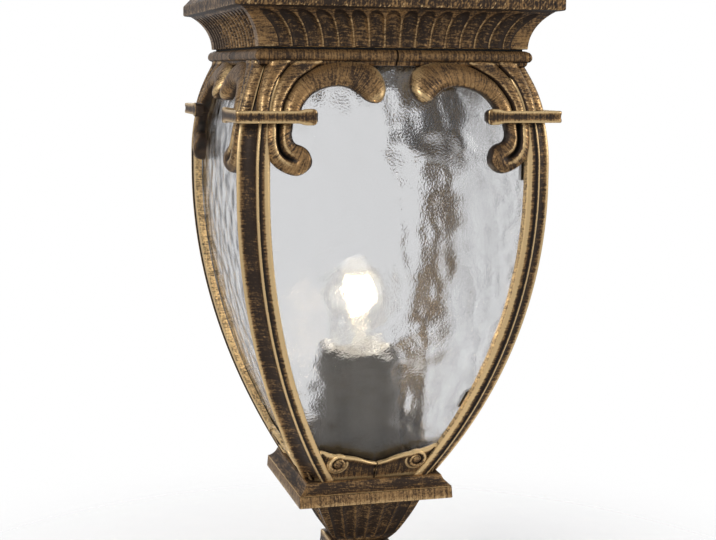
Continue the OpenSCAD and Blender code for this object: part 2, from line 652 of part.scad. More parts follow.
module lampholder_body() color("#efece2") difference() {
  union() {
    translate([0, 0, holder_z]) cylinder(12, r1 = 14, r2 = holder_r);
    translate([0, 0, holder_z + 12]) cylinder(holder_h - 12, r = holder_r);
  }
  translate([0, 0, holder_z - 1]) cylinder(9, r = tube_r + fit);
  translate([0, 0, holder_z + 7.9]) cylinder(8, r = 11);
  translate([0, 0, shell_z]) cylinder(holder_h, r = shell_or + fit);
  for (x = [0, neutral_x]) translate([x, 0, holder_z + 15]) cylinder(20, r = 1.2 + fit);
}
shell_or = cap_r + 1.3;
neutral_x = 8;
module lampholder_shell() color(brass) {
  translate([0, 0, shell_z]) difference() {
    cylinder(holder_h - 25, r = shell_or);
    translate([0, 0, 0.8]) cylinder(holder_h, r = cap_r + 0.3);
    translate([0, 0, -1]) cylinder(4, r = 4);
  }
  translate([neutral_x, 0, shell_z - 10]) cylinder(10.2, r = 1.2);
}
module centre_contact() color(brass) {
  translate([0, 0, shell_z - 10]) cylinder(11.5, r = 1.2);
  translate([0, 0, shell_z + 1.5]) cylinder(1, r = 3);
}
cap_foot = shell_z + 2.5;
cap_l = 25;
globe_z = cap_foot + cap_l + 30;
module bulb_cap() color("#c8c8cc") translate([0, 0, cap_foot]) difference() {
  union() {
    cylinder(2, r = 4.5);
    translate([0, 0, 2]) cylinder(3, r1 = 6, r2 = cap_r);
    translate([0, 0, 5]) cylinder(cap_l - 5, r = cap_r);
  }
  translate([0, 0, 6]) cylinder(cap_l, r = cap_r - 0.5);
}
neck_r = cap_r - 0.8;
module bulb_shape(inset) {
  translate([0, 0, globe_z]) sphere(globe_r - inset);
  translate([0, 0, cap_foot + cap_l - 6]) cylinder(16, r = neck_r - inset);
  shoulder_z = cap_foot + cap_l + 8;
  translate([0, 0, shoulder_z]) cylinder(globe_z - 8 - shoulder_z, r1 = neck_r - inset, r2 = globe_r * 0.93 - inset);
}
module bulb_glass() color("#f4f2ea", 0.4) difference() {
  bulb_shape(0);
  bulb_shape(0.8);
  translate([0, 0, cap_foot]) cylinder(cap_l - 5, r = neck_r - 0.8);
}
stem_z = cap_foot + cap_l - 5.2;
filament_z = globe_z - 14;
module bulb_stem() color("#e8ecec") {
  translate([0, 0, stem_z]) cylinder(10, r1 = neck_r - 1, r2 = 3);
  translate([0, 0, stem_z + 10]) cylinder(globe_z + 12 - stem_z - 10, r = 1.5);
}
module bulb_filaments() color("#fff0c0") for (a = [45 : 90 : 315]) rotate([0, 0, a])
  translate([2.45, 0, filament_z]) rotate([0, 12, 0]) cylinder(24, r = 0.9);

// Wires, swept along hand-placed routes
wire_sides = 8;
function unit(v) = v / norm(v);
function side_of(t) = unit(cross([1, -0.4, 0.3], t));
module wire(route) {
  path = smooth(route, 3);
  last = len(path) - 1;
  points = [for (i = [0 : last])
    let (t = unit(path[min(i + 1, last)] - path[max(i - 1, 0)]), u = side_of(t), v = cross(t, u))
    for (k = [0 : wire_sides - 1])
      path[i] + wire_r * (cos(360 * k / wire_sides) * u + sin(360 * k / wire_sides) * v)];
  skin = [for (i = [0 : last - 1]) for (k = [0 : wire_sides - 1])
    [i * wire_sides + k, i * wire_sides + (k + 1) % wire_sides,
     (i + 1) * wire_sides + (k + 1) % wire_sides, (i + 1) * wire_sides + k]];
  polyhedron(points, concat([[for (k = [0 : wire_sides - 1]) wire_sides - 1 - k]], skin,
    [[for (k = [0 : wire_sides - 1]) last * wire_sides + k]]), convexity = 10);
}
wire_step = tube_bore_r - wire_r - 0.4;
block_mid = shelf_z + shelf_t + block_size.z / 2;
block_front = block_y - block_size.y / 2;
module live_lead() color("#7a4a28") wire([
  [0, 0, holder_z + 13.7], [-0.6, 0, holder_z + 11], [-wire_step, 0, holder_z + 7], [-wire_step, 0, holder_z],
  [-wire_step, 0, tube_foot + 8], [-wire_step, 0, tube_foot - 2], [-4, -3, block_mid + 6],
  [-5, -2, block_mid], [-5, block_front - 0.2, block_mid]
]);
module neutral_lead() color("#2f5f9a") wire([
  [neutral_x, 0, holder_z + 13.7], [6.8, 0, holder_z + 11.4], [3.6, 0, holder_z + 9.4],
  [wire_step, 0, holder_z + 6], [wire_step, 0, holder_z - 2], [wire_step, 0, tube_foot + 8],
  [wire_step, 0, tube_foot - 2], [4, -3, block_mid + 6], [5, -2, block_mid], [5, block_front - 0.2, block_mid]
]);
earth_top = pedestal_top - web_t - washer_t - 0.3;
module earth_lead() color("#4f8a3a") wire([
  [-2 - wire_r - 0.1, earth_y, shelf_z + shelf_t + 0.8 + wire_r], [-10, earth_y - 1, shelf_z + shelf_t + 3],
  [-17.5, 16, block_mid + 2], [-13, 10, block_mid + 16], [-4, 9, earth_top - 10], [0, 8.2, earth_top - 4],
  [0, 8.2, earth_top]
]);

base_gasket();
pedestal();
terminal_block();
terminal_screws();
earth_screw();
fluted_cup();
base_plate();
corner_screws();
corner_front_left();
corner_front_right();
corner_rear_left();
corner_rear_right();
glass_front();
glass_rear();
glass_left();
glass_right();
glass_clips();
clip_screws();
splice_plates();
splice_screws();
cross_bar();
roof_stud();
stud_nuts();
roof_gasket();
roof();
finial_washer();
finial();
lamp_sleeve();
threaded_tube();
tube_nuts();
tube_washers();
lampholder_body();
lampholder_shell();
centre_contact();
bulb_cap();
bulb_glass();
bulb_stem();
bulb_filaments();
live_lead();
neutral_lead();
earth_lead();
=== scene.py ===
import json
import math

import bmesh
import bpy
import numpy as np
from mathutils import Matrix, Vector

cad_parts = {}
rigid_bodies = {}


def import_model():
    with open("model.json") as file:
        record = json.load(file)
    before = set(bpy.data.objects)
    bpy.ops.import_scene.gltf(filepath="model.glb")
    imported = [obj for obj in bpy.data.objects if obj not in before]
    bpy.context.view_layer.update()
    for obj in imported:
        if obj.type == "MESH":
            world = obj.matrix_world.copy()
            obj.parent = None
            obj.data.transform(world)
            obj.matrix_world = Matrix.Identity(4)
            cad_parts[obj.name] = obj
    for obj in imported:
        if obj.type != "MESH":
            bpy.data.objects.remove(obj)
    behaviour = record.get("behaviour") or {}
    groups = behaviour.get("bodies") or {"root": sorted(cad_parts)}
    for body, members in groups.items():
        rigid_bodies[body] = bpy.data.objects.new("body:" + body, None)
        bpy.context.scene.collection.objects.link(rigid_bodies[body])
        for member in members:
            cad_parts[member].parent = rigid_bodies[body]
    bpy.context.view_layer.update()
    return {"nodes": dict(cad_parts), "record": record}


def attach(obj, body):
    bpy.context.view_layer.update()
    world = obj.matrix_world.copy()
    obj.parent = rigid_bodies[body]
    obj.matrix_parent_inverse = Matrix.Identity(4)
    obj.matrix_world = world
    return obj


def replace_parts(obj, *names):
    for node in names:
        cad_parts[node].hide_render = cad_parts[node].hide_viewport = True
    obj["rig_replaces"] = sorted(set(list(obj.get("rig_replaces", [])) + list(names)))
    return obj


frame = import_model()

# Studio: a pale paper floor that fades out, a surround that looks white and lights dimly, and
# three soft boxes. The camera stands 0.89 m from the lamp's axis, 15 degrees to its left, and
# looks down by 8 degrees, as the photograph was taken.

azimuth, tilt, roll = math.radians(15.41), math.radians(-8.12), math.radians(0.45)
ahead = Vector((math.sin(azimuth) * math.cos(tilt), math.cos(azimuth) * math.cos(tilt), math.sin(tilt)))
level = Vector((math.cos(azimuth), -math.sin(azimuth), 0))
rise = level.cross(ahead)
right = level * math.cos(roll) + rise * math.sin(roll)
top = rise * math.cos(roll) - level * math.sin(roll)
lens = bpy.data.cameras.new("camera")
lens.lens, lens.sensor_width = 69.85, 36
lens.clip_start, lens.clip_end = 0.05, 50
camera = bpy.data.objects.new("camera", lens)
place = Matrix((right, top, -ahead)).transposed().to_4x4()
place.translation = (-0.2365, -0.8580, 0.3806)
camera.matrix_world = place
bpy.context.scene.collection.objects.link(camera)
bpy.context.scene.camera = camera
bpy.context.scene.view_settings.view_transform = "Standard"

sky = bpy.data.worlds.new("surround")
bpy.context.scene.world = sky
sky.use_nodes = True
nodes, links = sky.node_tree.nodes, sky.node_tree.links
nodes.clear()
ray = nodes.new("ShaderNodeLightPath")
seen = nodes.new("ShaderNodeMath")
seen.operation = "MAXIMUM"
links.new(ray.outputs["Is Camera Ray"], seen.inputs[0])
links.new(ray.outputs["Is Transmission Ray"], seen.inputs[1])
white, glow = nodes.new("ShaderNodeBackground"), nodes.new("ShaderNodeBackground")
white.inputs["Color"].default_value = (1, 1, 1, 1)
glow.inputs["Color"].default_value = (0.96, 0.97, 1, 1)
glow.inputs["Strength"].default_value = 0.55
both = nodes.new("ShaderNodeMixShader")
links.new(seen.outputs[0], both.inputs[0])
links.new(glow.outputs[0], both.inputs[1])
links.new(white.outputs[0], both.inputs[2])
out = nodes.new("ShaderNodeOutputWorld")
links.new(both.outputs[0], out.inputs["Surface"])


def soft_lamp(name, place, aim, size, watts, colour):
    """A square soft box at place, turned so that its face looks at aim."""
    data = bpy.data.lights.new(name, "AREA")
    data.size, data.energy, data.color = size, watts, colour
    lamp = bpy.data.objects.new(name, data)
    lamp.location = place
    lamp.rotation_euler = (Vector(aim) - Vector(place)).to_track_quat("-Z", "Y").to_euler()
    bpy.context.scene.collection.objects.link(lamp)


soft_lamp("left_box", (-1.5, -1.3, 1.3), (0, 0, 0.3), 0.9, 20, (1, 0.97, 0.93))
soft_lamp("right_box", (1.7, -0.9, 0.9), (0, 0, 0.3), 0.7, 13, (1, 0.96, 0.9))
soft_lamp("back_box", (0.3, 1.9, 1.4), (0, 0, 0.3), 1.0, 12, (0.96, 0.98, 1))

floor_half, floor_z = 2, -0.0003
floor_mesh = bpy.data.meshes.new("floor")
floor_mesh.from_pydata([
    (-floor_half, -floor_half, floor_z), (floor_half, -floor_half, floor_z),
    (floor_half, floor_half, floor_z), (-floor_half, floor_half, floor_z)], [], [(0, 1, 2, 3)])
floor = bpy.data.objects.new("floor", floor_mesh)
bpy.context.scene.collection.objects.link(floor)
paper = bpy.data.materials.new("pale_paper")
paper.use_nodes = True
nodes, links = paper.node_tree.nodes, paper.node_tree.links
sheet = nodes["Principled BSDF"]
sheet.inputs["Base Color"].default_value = (0.96, 0.96, 0.96, 1)
sheet.inputs["Roughness"].default_value = 0.7
sheet.inputs["Specular IOR Level"].default_value = 0.1
where = nodes.new("ShaderNodeTexCoord")
reach = nodes.new("ShaderNodeVectorMath")
reach.operation = "LENGTH"
links.new(where.outputs["Object"], reach.inputs[0])
fade = nodes.new("ShaderNodeMapRange")
fade.interpolation_type = "SMOOTHERSTEP"
fade.inputs["From Min"].default_value = 0.14
fade.inputs["From Max"].default_value = 0.5
links.new(reach.outputs["Value"], fade.inputs["Value"])
clear = nodes.new("ShaderNodeBsdfTransparent")
edge = nodes.new("ShaderNodeMixShader")
links.new(fade.outputs[0], edge.inputs[0])
links.new(sheet.outputs[0], edge.inputs[1])
links.new(clear.outputs[0], edge.inputs[2])
links.new(edge.outputs[0], nodes["Material Output"].inputs["Surface"])
floor_mesh.materials.append(paper)

# Antique bronze: the castings are aluminium, sprayed dark brown and then rubbed with gold and
# copper by a nearly dry brush, which catches on edges and ridges, leaves streaks across the
# flat faces and misses the hollows and whatever looks inwards. Those hollows and inward faces
# are also painted near black as painted shade, where the light hardly reaches.


def stretched_noise(nodes, links, vector, scale, detail, rough, squeeze=(1, 1, 1)):
    """Fractal noise read at vector times squeeze, whose unequal numbers draw it out into strokes."""
    spread = nodes.new("ShaderNodeMapping")
    spread.inputs["Scale"].default_value = squeeze
    links.new(vector, spread.inputs["Vector"])
    noise = nodes.new("ShaderNodeTexNoise")
    noise.inputs["Scale"].default_value = scale
    noise.inputs["Detail"].default_value = detail
    noise.inputs["Roughness"].default_value = rough
    links.new(spread.outputs[0], noise.inputs["Vector"])
    return noise.outputs["Fac"]


def weighted(nodes, links, terms, constant=0.0):
    """Adds up sources, each times its own weight, and a constant."""
    total = None
    for source, weight in terms:
        step = nodes.new("ShaderNodeMath")
        step.operation = "MULTIPLY_ADD"
        step.inputs[1].default_value = weight
        links.new(source, step.inputs[0])
        if total is None:
            step.inputs[2].default_value = constant
        else:
            links.new(total, step.inputs[2])
        total = step.outputs[0]
    return total


def ramp(nodes, links, source, low, high):
    """0 below low, 1 above high and a smooth step between."""
    limit = nodes.new("ShaderNodeMapRange")
    limit.interpolation_type = "SMOOTHSTEP"
    limit.inputs["From Min"].default_value = low
    limit.inputs["From Max"].default_value = high
    links.new(source, limit.inputs["Value"])
    return limit.outputs[0]


def blended(nodes, links, share, first, second):
    """Colour that goes from first to second with share; either may be a colour or a socket."""
    mix = nodes.new("ShaderNodeMix")
    mix.data_type = "RGBA"
    links.new(share, mix.inputs["Factor"])
    for socket, colour in ((mix.inputs["A"], first), (mix.inputs["B"], second)):
        if isinstance(colour, tuple):
            socket.default_value = (*colour, 1)
        else:
            links.new(colour, socket)
    return mix.outputs["Result"]


def antique_bronze():
    """A dark brown base, then rubbed brown, gold and bright metal, and last a near black over hollows and
    inward faces, partly brown the brush missed and partly painted shade. Each is shown where a weighted sum
    of ridge, streaks, blotches, grain and facing (the reach of the brush, and painted shade on what looks
    inwards) is high.
    The attribute stroke gives the way of the brush, and stand_out tells ridges from hollows."""
    bronze = bpy.data.materials.new("antique_bronze")
    bronze.use_nodes = True
    nodes, links = bronze.node_tree.nodes, bronze.node_tree.links
    skin = nodes["Principled BSDF"]
    space = nodes.new("ShaderNodeTexCoord")
    where = space.outputs["Object"]
    stroke = nodes.new("ShaderNodeAttribute")
    stroke.attribute_name = "stroke"
    stand = nodes.new("ShaderNodeAttribute")
    stand.attribute_name = "stand_out"
    ridge = stand.outputs["Fac"]
    across = stretched_noise(nodes, links, stroke.outputs["Vector"], 1.0, 4, 0.65, (120, 120, 1000))
    blotch = stretched_noise(nodes, links, where, 60, 3, 0.6)
    grain = stretched_noise(nodes, links, where, 750, 3, 0.7)
    cast = stretched_noise(nodes, links, where, 330, 4, 0.6)
    # What looks away from the lamp's axis, and a little what looks up, counts as reached by the brush; what
    # looks inwards is kept dark, partly as brown the brush missed and partly as painted shade
    flat_place = nodes.new("ShaderNodeVectorMath")
    flat_place.operation = "MULTIPLY"
    flat_place.inputs[1].default_value = (1, 1, 0)
    links.new(where, flat_place.inputs[0])
    outward = nodes.new("ShaderNodeVectorMath")
    outward.operation = "NORMALIZE"
    links.new(flat_place.outputs[0], outward.inputs[0])
    tipped = nodes.new("ShaderNodeVectorMath")
    tipped.operation = "ADD"
    tipped.inputs[1].default_value = (0, 0, 0.15)
    links.new(outward.outputs[0], tipped.inputs[0])
    facing = nodes.new("ShaderNodeVectorMath")
    facing.operation = "DOT_PRODUCT"
    links.new(space.outputs["Normal"], facing.inputs[0])
    links.new(tipped.outputs[0], facing.inputs[1])
    brush_reach_and_shade = ramp(nodes, links, facing.outputs["Value"], -0.2, 0.55)
    rubbed = ramp(nodes, links, weighted(nodes, links, [
        (ridge, 0.8), (across, 2.4), (blotch, 1.8), (grain, 1.8), (brush_reach_and_shade, 1.1)], -3.68), 0.0, 1.0)
    gold = ramp(nodes, links, weighted(nodes, links, [
        (ridge, 1.0), (across, 3.3), (blotch, 1.6), (grain, 2.8), (brush_reach_and_shade, 1.6)], -5.33), 0.0, 1.15)
    bright = ramp(nodes, links, weighted(nodes, links, [
        (ridge, 2.2), (across, 1.4), (grain, 1.4), (brush_reach_and_shade, 0.8)], -3.15), 0.0, 1.0)
    # Painted shade: hollows and inward faces go near black, partly the brown the brush missed and partly
    # shade painted where light hardly falls
    hollow = ramp(nodes, links, weighted(nodes, links, [
        (ridge, -2.0), (blotch, 0.8), (grain, 0.8), (brush_reach_and_shade, -1.6)], -0.1), 0.0, 1.1)
    base = blended(nodes, links, rubbed, (0.032, 0.020, 0.0135), (0.125, 0.072, 0.033))
    base = blended(nodes, links, gold, base, (0.37, 0.22, 0.095))
    base = blended(nodes, links, bright, base, (0.74, 0.53, 0.27))
    # The near black of hollows and inward faces, partly painted shade
    base = blended(nodes, links, hollow, base, (0.007, 0.006, 0.005))
    links.new(base, skin.inputs["Base Color"])
    shine = nodes.new("ShaderNodeMapRange")
    shine.inputs["To Min"].default_value = 0.5
    shine.inputs["To Max"].default_value = 0.36
    links.new(gold, shine.inputs["Value"])
    links.new(shine.outputs[0], skin.inputs["Roughness"])
    metal = nodes.new("ShaderNodeMapRange")
    metal.inputs["To Min"].default_value = 0.25
    metal.inputs["To Max"].default_value = 0.8
    links.new(gold, metal.inputs["Value"])
    links.new(metal.outputs[0], skin.inputs["Metallic"])
    skin.inputs["Specular IOR Level"].default_value = 0.25
    height = weighted(nodes, links, [(across, 0.7), (grain, 0.5), (cast, 0.8)])
    bump = nodes.new("ShaderNodeBump")
    bump.inputs["Strength"].default_value = 0.5
    bump.inputs["Distance"].default_value = 0.0004
    links.new(height, bump.inputs["Height"])
    links.new(bump.outputs[0], skin.inputs["Normal"])
    return bronze


bronze = antique_bronze()


def grid_faces(rows, cols):
    """Four-sided faces of a grid of rows times cols points, with its last column joined to its first."""
    r, c = np.meshgrid(np.arange(rows - 1), np.arange(cols), indexing="ij")
    here, beside = r * cols + c, r * cols + (c + 1) % cols
    return np.stack([here, beside, beside + cols, here + cols], -1).reshape(-1, 4)


def closed_tube(rings, along, first=None, last=None):
    """Rings of points (rows, cols, 3) joined into a skin, with a fan from each end ring to its middle point.
    Along gives each point's place along the brush stroke."""
    rows, cols = rings.shape[:2]
    ends = [rings[0].mean(0) if first is None else first, rings[-1].mean(0) if last is None else last]
    points = np.concatenate([rings.reshape(-1, 3), ends])
    c = np.arange(cols)
    count = rows * cols

    def fan(start, tip):
        return np.stack([start + c, start + (c + 1) % cols, np.full(cols, tip)], -1)

    faces = [grid_faces(rows, cols), fan(0, count), fan(count - cols, count + 1)]
    along = np.broadcast_to(along, (rows, cols)).reshape(-1)
    return points, faces, np.concatenate([along, [along[0], along[-1]]])


def stand_out(mesh, rounds, full):
    """How far each point stands out of its surroundings: its distance, along its normal, from the place that
    repeated averaging with its neighbours gives, where a near neighbour weighs more. Full mm gives 1."""
    count = len(mesh.vertices)
    spots, normals = np.empty(count * 3), np.empty(count * 3)
    mesh.vertices.foreach_get("co", spots)
    mesh.vertices.foreach_get("normal", normals)
    spots, normals = spots.reshape(-1, 3) * 1000, normals.reshape(-1, 3)
    ends = np.empty(len(mesh.edges) * 2, dtype=np.int64)
    mesh.edges.foreach_get("vertices", ends)
    ends = ends.reshape(-1, 2)
    a, b = np.concatenate([ends[:, 0], ends[:, 1]]), np.concatenate([ends[:, 1], ends[:, 0]])
    weight = 1 / (np.sum((spots[a] - spots[b]) ** 2, 1) + 0.02)
    total = np.bincount(a, weight, count)
    total[total == 0] = 1

    def averaged(values):
        return np.bincount(a, weight * values[b], count) / total

    smooth = spots.copy()
    for _ in range(rounds):
        smooth = 0.4 * smooth + 0.6 * np.stack([averaged(smooth[:, k]) for k in range(3)], 1)
    proud = np.einsum("ij,ij->i", spots - smooth, normals) / full
    proud = 0.6 * proud + 0.4 * averaged(proud)
    return np.clip(proud, -1, 1)


def casting(name, skins, material, nodes, rounds=8, full=0.6, crease=50):
    """Makes one piece out of closed skins in millimetres, with the two attributes that its finish may read.
    Each skin is points, faces and along, and, where the brush took its ridges less, the share of stand_out
    to keep. Rounds and full are those of stand_out. An edge that turns by more than crease is sharp."""
    points = np.concatenate([s[0] for s in skins])
    along = np.concatenate([s[2] for s in skins])
    rubbed = np.concatenate([np.full(len(s[0]), s[3] if len(s) > 3 else 1.0) for s in skins])
    faces, start = [], 0
    for skin_points, skin_faces, *_ in skins:
        for part in skin_faces:
            faces += (part + start).tolist()
        start += len(skin_points)
    mesh = bpy.data.meshes.new(name)
    mesh.from_pydata((points / 1000).tolist(), [], faces)
    shell = bmesh.new()
    shell.from_mesh(mesh)
    bmesh.ops.recalc_face_normals(shell, faces=shell.faces)
    shell.to_mesh(mesh)
    shell.free()
    mesh.shade_smooth()
    mesh.set_sharp_from_angle(angle=math.radians(crease))
    stroke = mesh.attributes.new("stroke", "FLOAT_VECTOR", "POINT")
    stroke.data.foreach_set("vector", (np.column_stack([points[:, :2], along]) / 1000).ravel())
    raised = mesh.attributes.new("stand_out", "FLOAT", "POINT")
    raised.data.foreach_set("value", stand_out(mesh, rounds, full) * rubbed)
    mesh.materials.append(material)
    piece = bpy.data.objects.new(name, mesh)
    bpy.context.scene.collection.objects.link(piece)
    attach(piece, "root")
    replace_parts(piece, *nodes)
    return piece


def square_rings(half, height, corner, places, dip=None):
    """Carries a profile round a square plan. Half and height are the profile's half width and height at each
    row. Places are where each side has points, from -1 to 1 of its straight part, or a table of x values in
    mm. Dip moves a side's points inwards along the profile's normal. Corners are quarter rounds."""
    rows = len(half)
    corner = np.minimum(corner, half * 0.45)
    flat = half - corner
    x = places if np.ndim(places) == 2 else flat[:, None] * places[None, :]
    slope = np.stack([np.gradient(half), np.gradient(height)], 1)
    slope /= np.maximum(np.linalg.norm(slope, axis=1), 1e-9)[:, None]
    outward = np.stack([slope[:, 1], -slope[:, 0]], 1)
    dip = np.zeros(x.shape) if dip is None else dip
    side = np.stack([x, -(half[:, None] - dip * outward[:, :1]), height[:, None] - dip * outward[:, 1:]], -1)
    turn = np.radians(np.linspace(-90, 0, 6)[1:-1])
    bend = np.stack([
        flat[:, None] + corner[:, None] * np.cos(turn), -flat[:, None] + corner[:, None] * np.sin(turn),
        np.broadcast_to(height[:, None], (rows, len(turn)))], -1)
    quarter = np.concatenate([side, bend], 1)
    whole = []
    for step in range(4):
        c, s = round(math.cos(step * math.pi / 2)), round(math.sin(step * math.pi / 2))
        whole.append(quarter @ np.array([[c, s, 0], [-s, c, 0], [0, 0, 1]]))
    return np.concatenate(whole, 1)


def run_of(half, height):
    """Distance along a profile from its first point."""
    return np.concatenate([[0], np.cumsum(np.hypot(np.diff(half), np.diff(height)))])


def arc(centre, radius, start, end, count):
    """Points on an arc, angles in degrees, first column half width and second height."""
    a = np.radians(np.linspace(start, end, count))
    return np.stack([centre[0] + radius * np.cos(a), centre[1] + radius * np.sin(a)], 1)


def chain(*parts):
    """Joins stretches of profile, with straight stretches filled in every few millimetres."""
    points = np.concatenate([np.atleast_2d(p) for p in parts]).astype(float)
    gap = np.hypot(*np.diff(points, axis=0).T)
    steps = np.maximum(1, np.round(gap / 4).astype(int))
    filled = [points[i] + (points[i + 1] - points[i]) * np.linspace(0, 1, n, endpoint=False)[:, None]
              for i, n in enumerate(steps)]
    return np.concatenate([*filled, points[-1:]])


# Pedestal: one hollow aluminium casting with a square bevelled plinth and a flare that sweeps
# up to a slim neck. Bolts through the four holes in its plinth hold it to a pier.

pedestal_top, plinth_top, neck_half, flare_foot = 75.5, 15.0, 19.5, 46.0
vault_top, wall, edge_round = 68.5, 4, 0.9
flare_r = ((flare_foot - neck_half) ** 2 + (pedestal_top - plinth_top) ** 2) / (2 * (flare_foot - neck_half))
foot_angle = 180 + math.degrees(math.asin((pedestal_top - plinth_top) / flare_r))
pedestal_profile = chain(
    (4, pedestal_top), (neck_half - 1.2, pedestal_top), (neck_half - 0.3, pedestal_top - 0.3),
    arc((neck_half + flare_r, pedestal_top), flare_r, 180.8, foot_angle, 26),
    (flare_foot + 0.8, plinth_top), (67, plinth_top), (67.3, plinth_top - 0.1), (69.9, 12.3), (70, 12),
    (70, 2.3), (69.8, 2.02), (66, 2), (42, 2), (41.9, 2.1), (41.9, plinth_top),
    arc((neck_half + flare_r, pedestal_top), flare_r + wall, foot_angle - 2, 186, 8), (4, vault_top))
side_places = np.linspace(-1, 1, 61)
rings = square_rings(*pedestal_profile.T, edge_round, side_places)
skin = closed_tube(rings, run_of(*pedestal_profile.T)[:, None], (0, 0, pedestal_top), (0, 0, vault_top))
pedestal = casting("pedestal_casting", [skin], bronze, ["pedestal"], full=0.3)
# Four bolt holes, cut out of the closed skin by shafts longer than the plinth is high
hole_r, hole_at, hole_ends = 3.5, 58, (1.0, 16.5)
turn = np.linspace(0, 2 * math.pi, 32, endpoint=False)
shaft = np.stack([hole_r * np.cos(turn), hole_r * np.sin(turn), 0 * turn], -1)
shaft = np.stack([shaft + (0, 0, z) for z in hole_ends])
holes = [closed_tube(shaft + (hole_at * sx, hole_at * sy, 0), 0.0) for sx in (-1, 1) for sy in (-1, 1)]
drill_mesh = bpy.data.meshes.new("drill")
drill_mesh.from_pydata(
    (np.concatenate([h[0] for h in holes]) / 1000).tolist(), [],
    [f for k, h in enumerate(holes) for part in h[1] for f in (part + k * len(h[0])).tolist()])
drill = bpy.data.objects.new("drill", drill_mesh)
bpy.context.scene.collection.objects.link(drill)
cut = pedestal.modifiers.new("drill", "BOOLEAN")
cut.object, cut.solver = drill, "EXACT"
bpy.context.view_layer.update()
drilled = bpy.data.meshes.new_from_object(pedestal.evaluated_get(bpy.context.evaluated_depsgraph_get()))
pedestal.modifiers.clear()
pedestal.data = drilled
bpy.data.objects.remove(drill)

# Fluted cup: a square aluminium casting that swells from the neck to the plate, with six
# round-ended flutes on each side that fan out as it widens. The threaded tube clamps it.

cup_z, cup_top = pedestal_top, 112.5
cup_side = np.array([
    (14.6, cup_z), (15.6, 76.0), (17.2, 77.5), (19.2, 79.8), (21.4, 82.6), (23.7, 86.4), (26.0, 90.8),
    (28.4, 95.6), (30.7, 100.6), (32.4, 104.6), (33.6, 107.6), (34.4, 110.0), (34.8, 112.1)])
cup_rise = np.linspace(cup_z, 112.1, 58)
cup_profile = np.concatenate([
    [[5, cup_z]], np.stack([np.interp(cup_rise, cup_side[:, 1], cup_side[:, 0]), cup_rise], 1),
    [[34.6, cup_top], [5, cup_top]]])
cup_profile[2:-3, 0] = np.convolve(cup_profile[:, 0], [0.25, 0.5, 0.25], "same")[2:-3]
half, height = cup_profile.T
# Places across a side are counted in pitches from its middle, so the flutes' middles are at -2.5 to 2.5
flute_half, flute_depth, no_flute = 0.44, 1.7, 9.0
flute_angles = np.radians(np.linspace(180, 0, 13))
flute_places = np.concatenate([[-3.0], *(
    np.append(k + flute_half * np.cos(flute_angles), k + 0.5) for k in np.arange(-2.5, 3))])
pitch = np.minimum(6.4 + 2.9 * (height - 80) / 25, (half - 1.6) / 3)
end_gap = (half - edge_round)[:, None] - 3 * pitch[:, None]
x_left = -(half - edge_round)[:, None] + end_gap * np.linspace(0, 1, 6)[:-1]
x_table = np.concatenate([x_left, pitch[:, None] * flute_places, -x_left[:, ::-1]], 1)
blank = np.full(x_left.shape, no_flute)
k_table = np.concatenate([blank, np.broadcast_to(flute_places, (len(half), len(flute_places))), blank], 1)
off = k_table - np.clip(np.floor(k_table) + 0.5, -2.5, 2.5)
head_z, foot_z = 105.2, 81.6
beyond = np.maximum(height - head_z, 0)[:, None] / pitch[:, None]
below = np.maximum(foot_z - height, 0)[:, None] / pitch[:, None] * 1.2
rho = np.hypot(off, np.maximum(beyond, below)) / flute_half
dip = flute_depth * np.clip(1 - rho ** 2, 0, 1) ** 0.75
dip[(height < 78) | (height > 112.2)] = 0
rings = square_rings(half, height, edge_round, x_table, dip)
skin = closed_tube(rings, run_of(half, height)[:, None], (0, 0, cup_z), (0, 0, cup_top))
casting("cup_casting", [skin], bronze, ["fluted_cup"])

# Base plate: a square aluminium casting with an upright fascia and a hollow moulding above it.
# The four corner castings stand on it, screwed from below.

plate_top, fascia_top = 127.2, 120
plate_profile = chain(
    (5, cup_top), (49.2, cup_top), (49.8, 112.7), (50, 113.2), (49.55, 119.4), (49.2, 119.9), (48.7, 120.1),
    arc((54.6, 129.8), 10.9, 243, 197, 12), (43.9, 126.7), (43.6, 127.1), (43.2, plate_top), (5, plate_top))
rings = square_rings(*plate_profile.T, 0.8, side_places)
on_fascia = plate_profile[:, 1:] < fascia_top
along = np.where(on_fascia, rings[:, :, 0] + rings[:, :, 1], run_of(*plate_profile.T)[:, None])
skin = closed_tube(rings, along, (0, 0, cup_top), (0, 0, plate_top))
casting("plate_casting", [skin], bronze, ["base_plate"], full=0.45)

# Corner castings: each of the four is one aluminium casting with a hollow-cornered rib, half of
# each neighbouring rail, leaf and hook scrollwork bound by a strap, and a volute at its foot.
# They meet at a fine gap in the middle of each face and are screwed to the plate.

cage_z, rail_z, rail_top, scroll_back = plate_top, 256.8, 266.2, -5.4
belly_half, belly_low, belly_high, low_r, high_r = 95.0, 187.8, 197.8, 373.2, 140.4


def cage_half(z):
    """Half width of the cage at a height above the plate: a long arc out to the belly, a straight 10 mm and a
    tighter arc back in."""
    z = np.clip(z, -2, rail_z)
    low = belly_half - low_r + np.sqrt(low_r ** 2 - np.minimum(z - belly_low, 0) ** 2)
    high = belly_half - high_r + np.sqrt(high_r ** 2 - np.maximum(z - belly_high, 0) ** 2)
    return np.where(z < belly_low, low, np.where(z < belly_high, belly_half, high))


def face_point(x, z, proud):
    """A place on the front of the cage: x across, z up, and how far it stands out of the bowed outline."""
    x, z, proud = np.broadcast_arrays(x, z, proud)
    return np.stack([x, -(cage_half(z) + proud), z], -1)


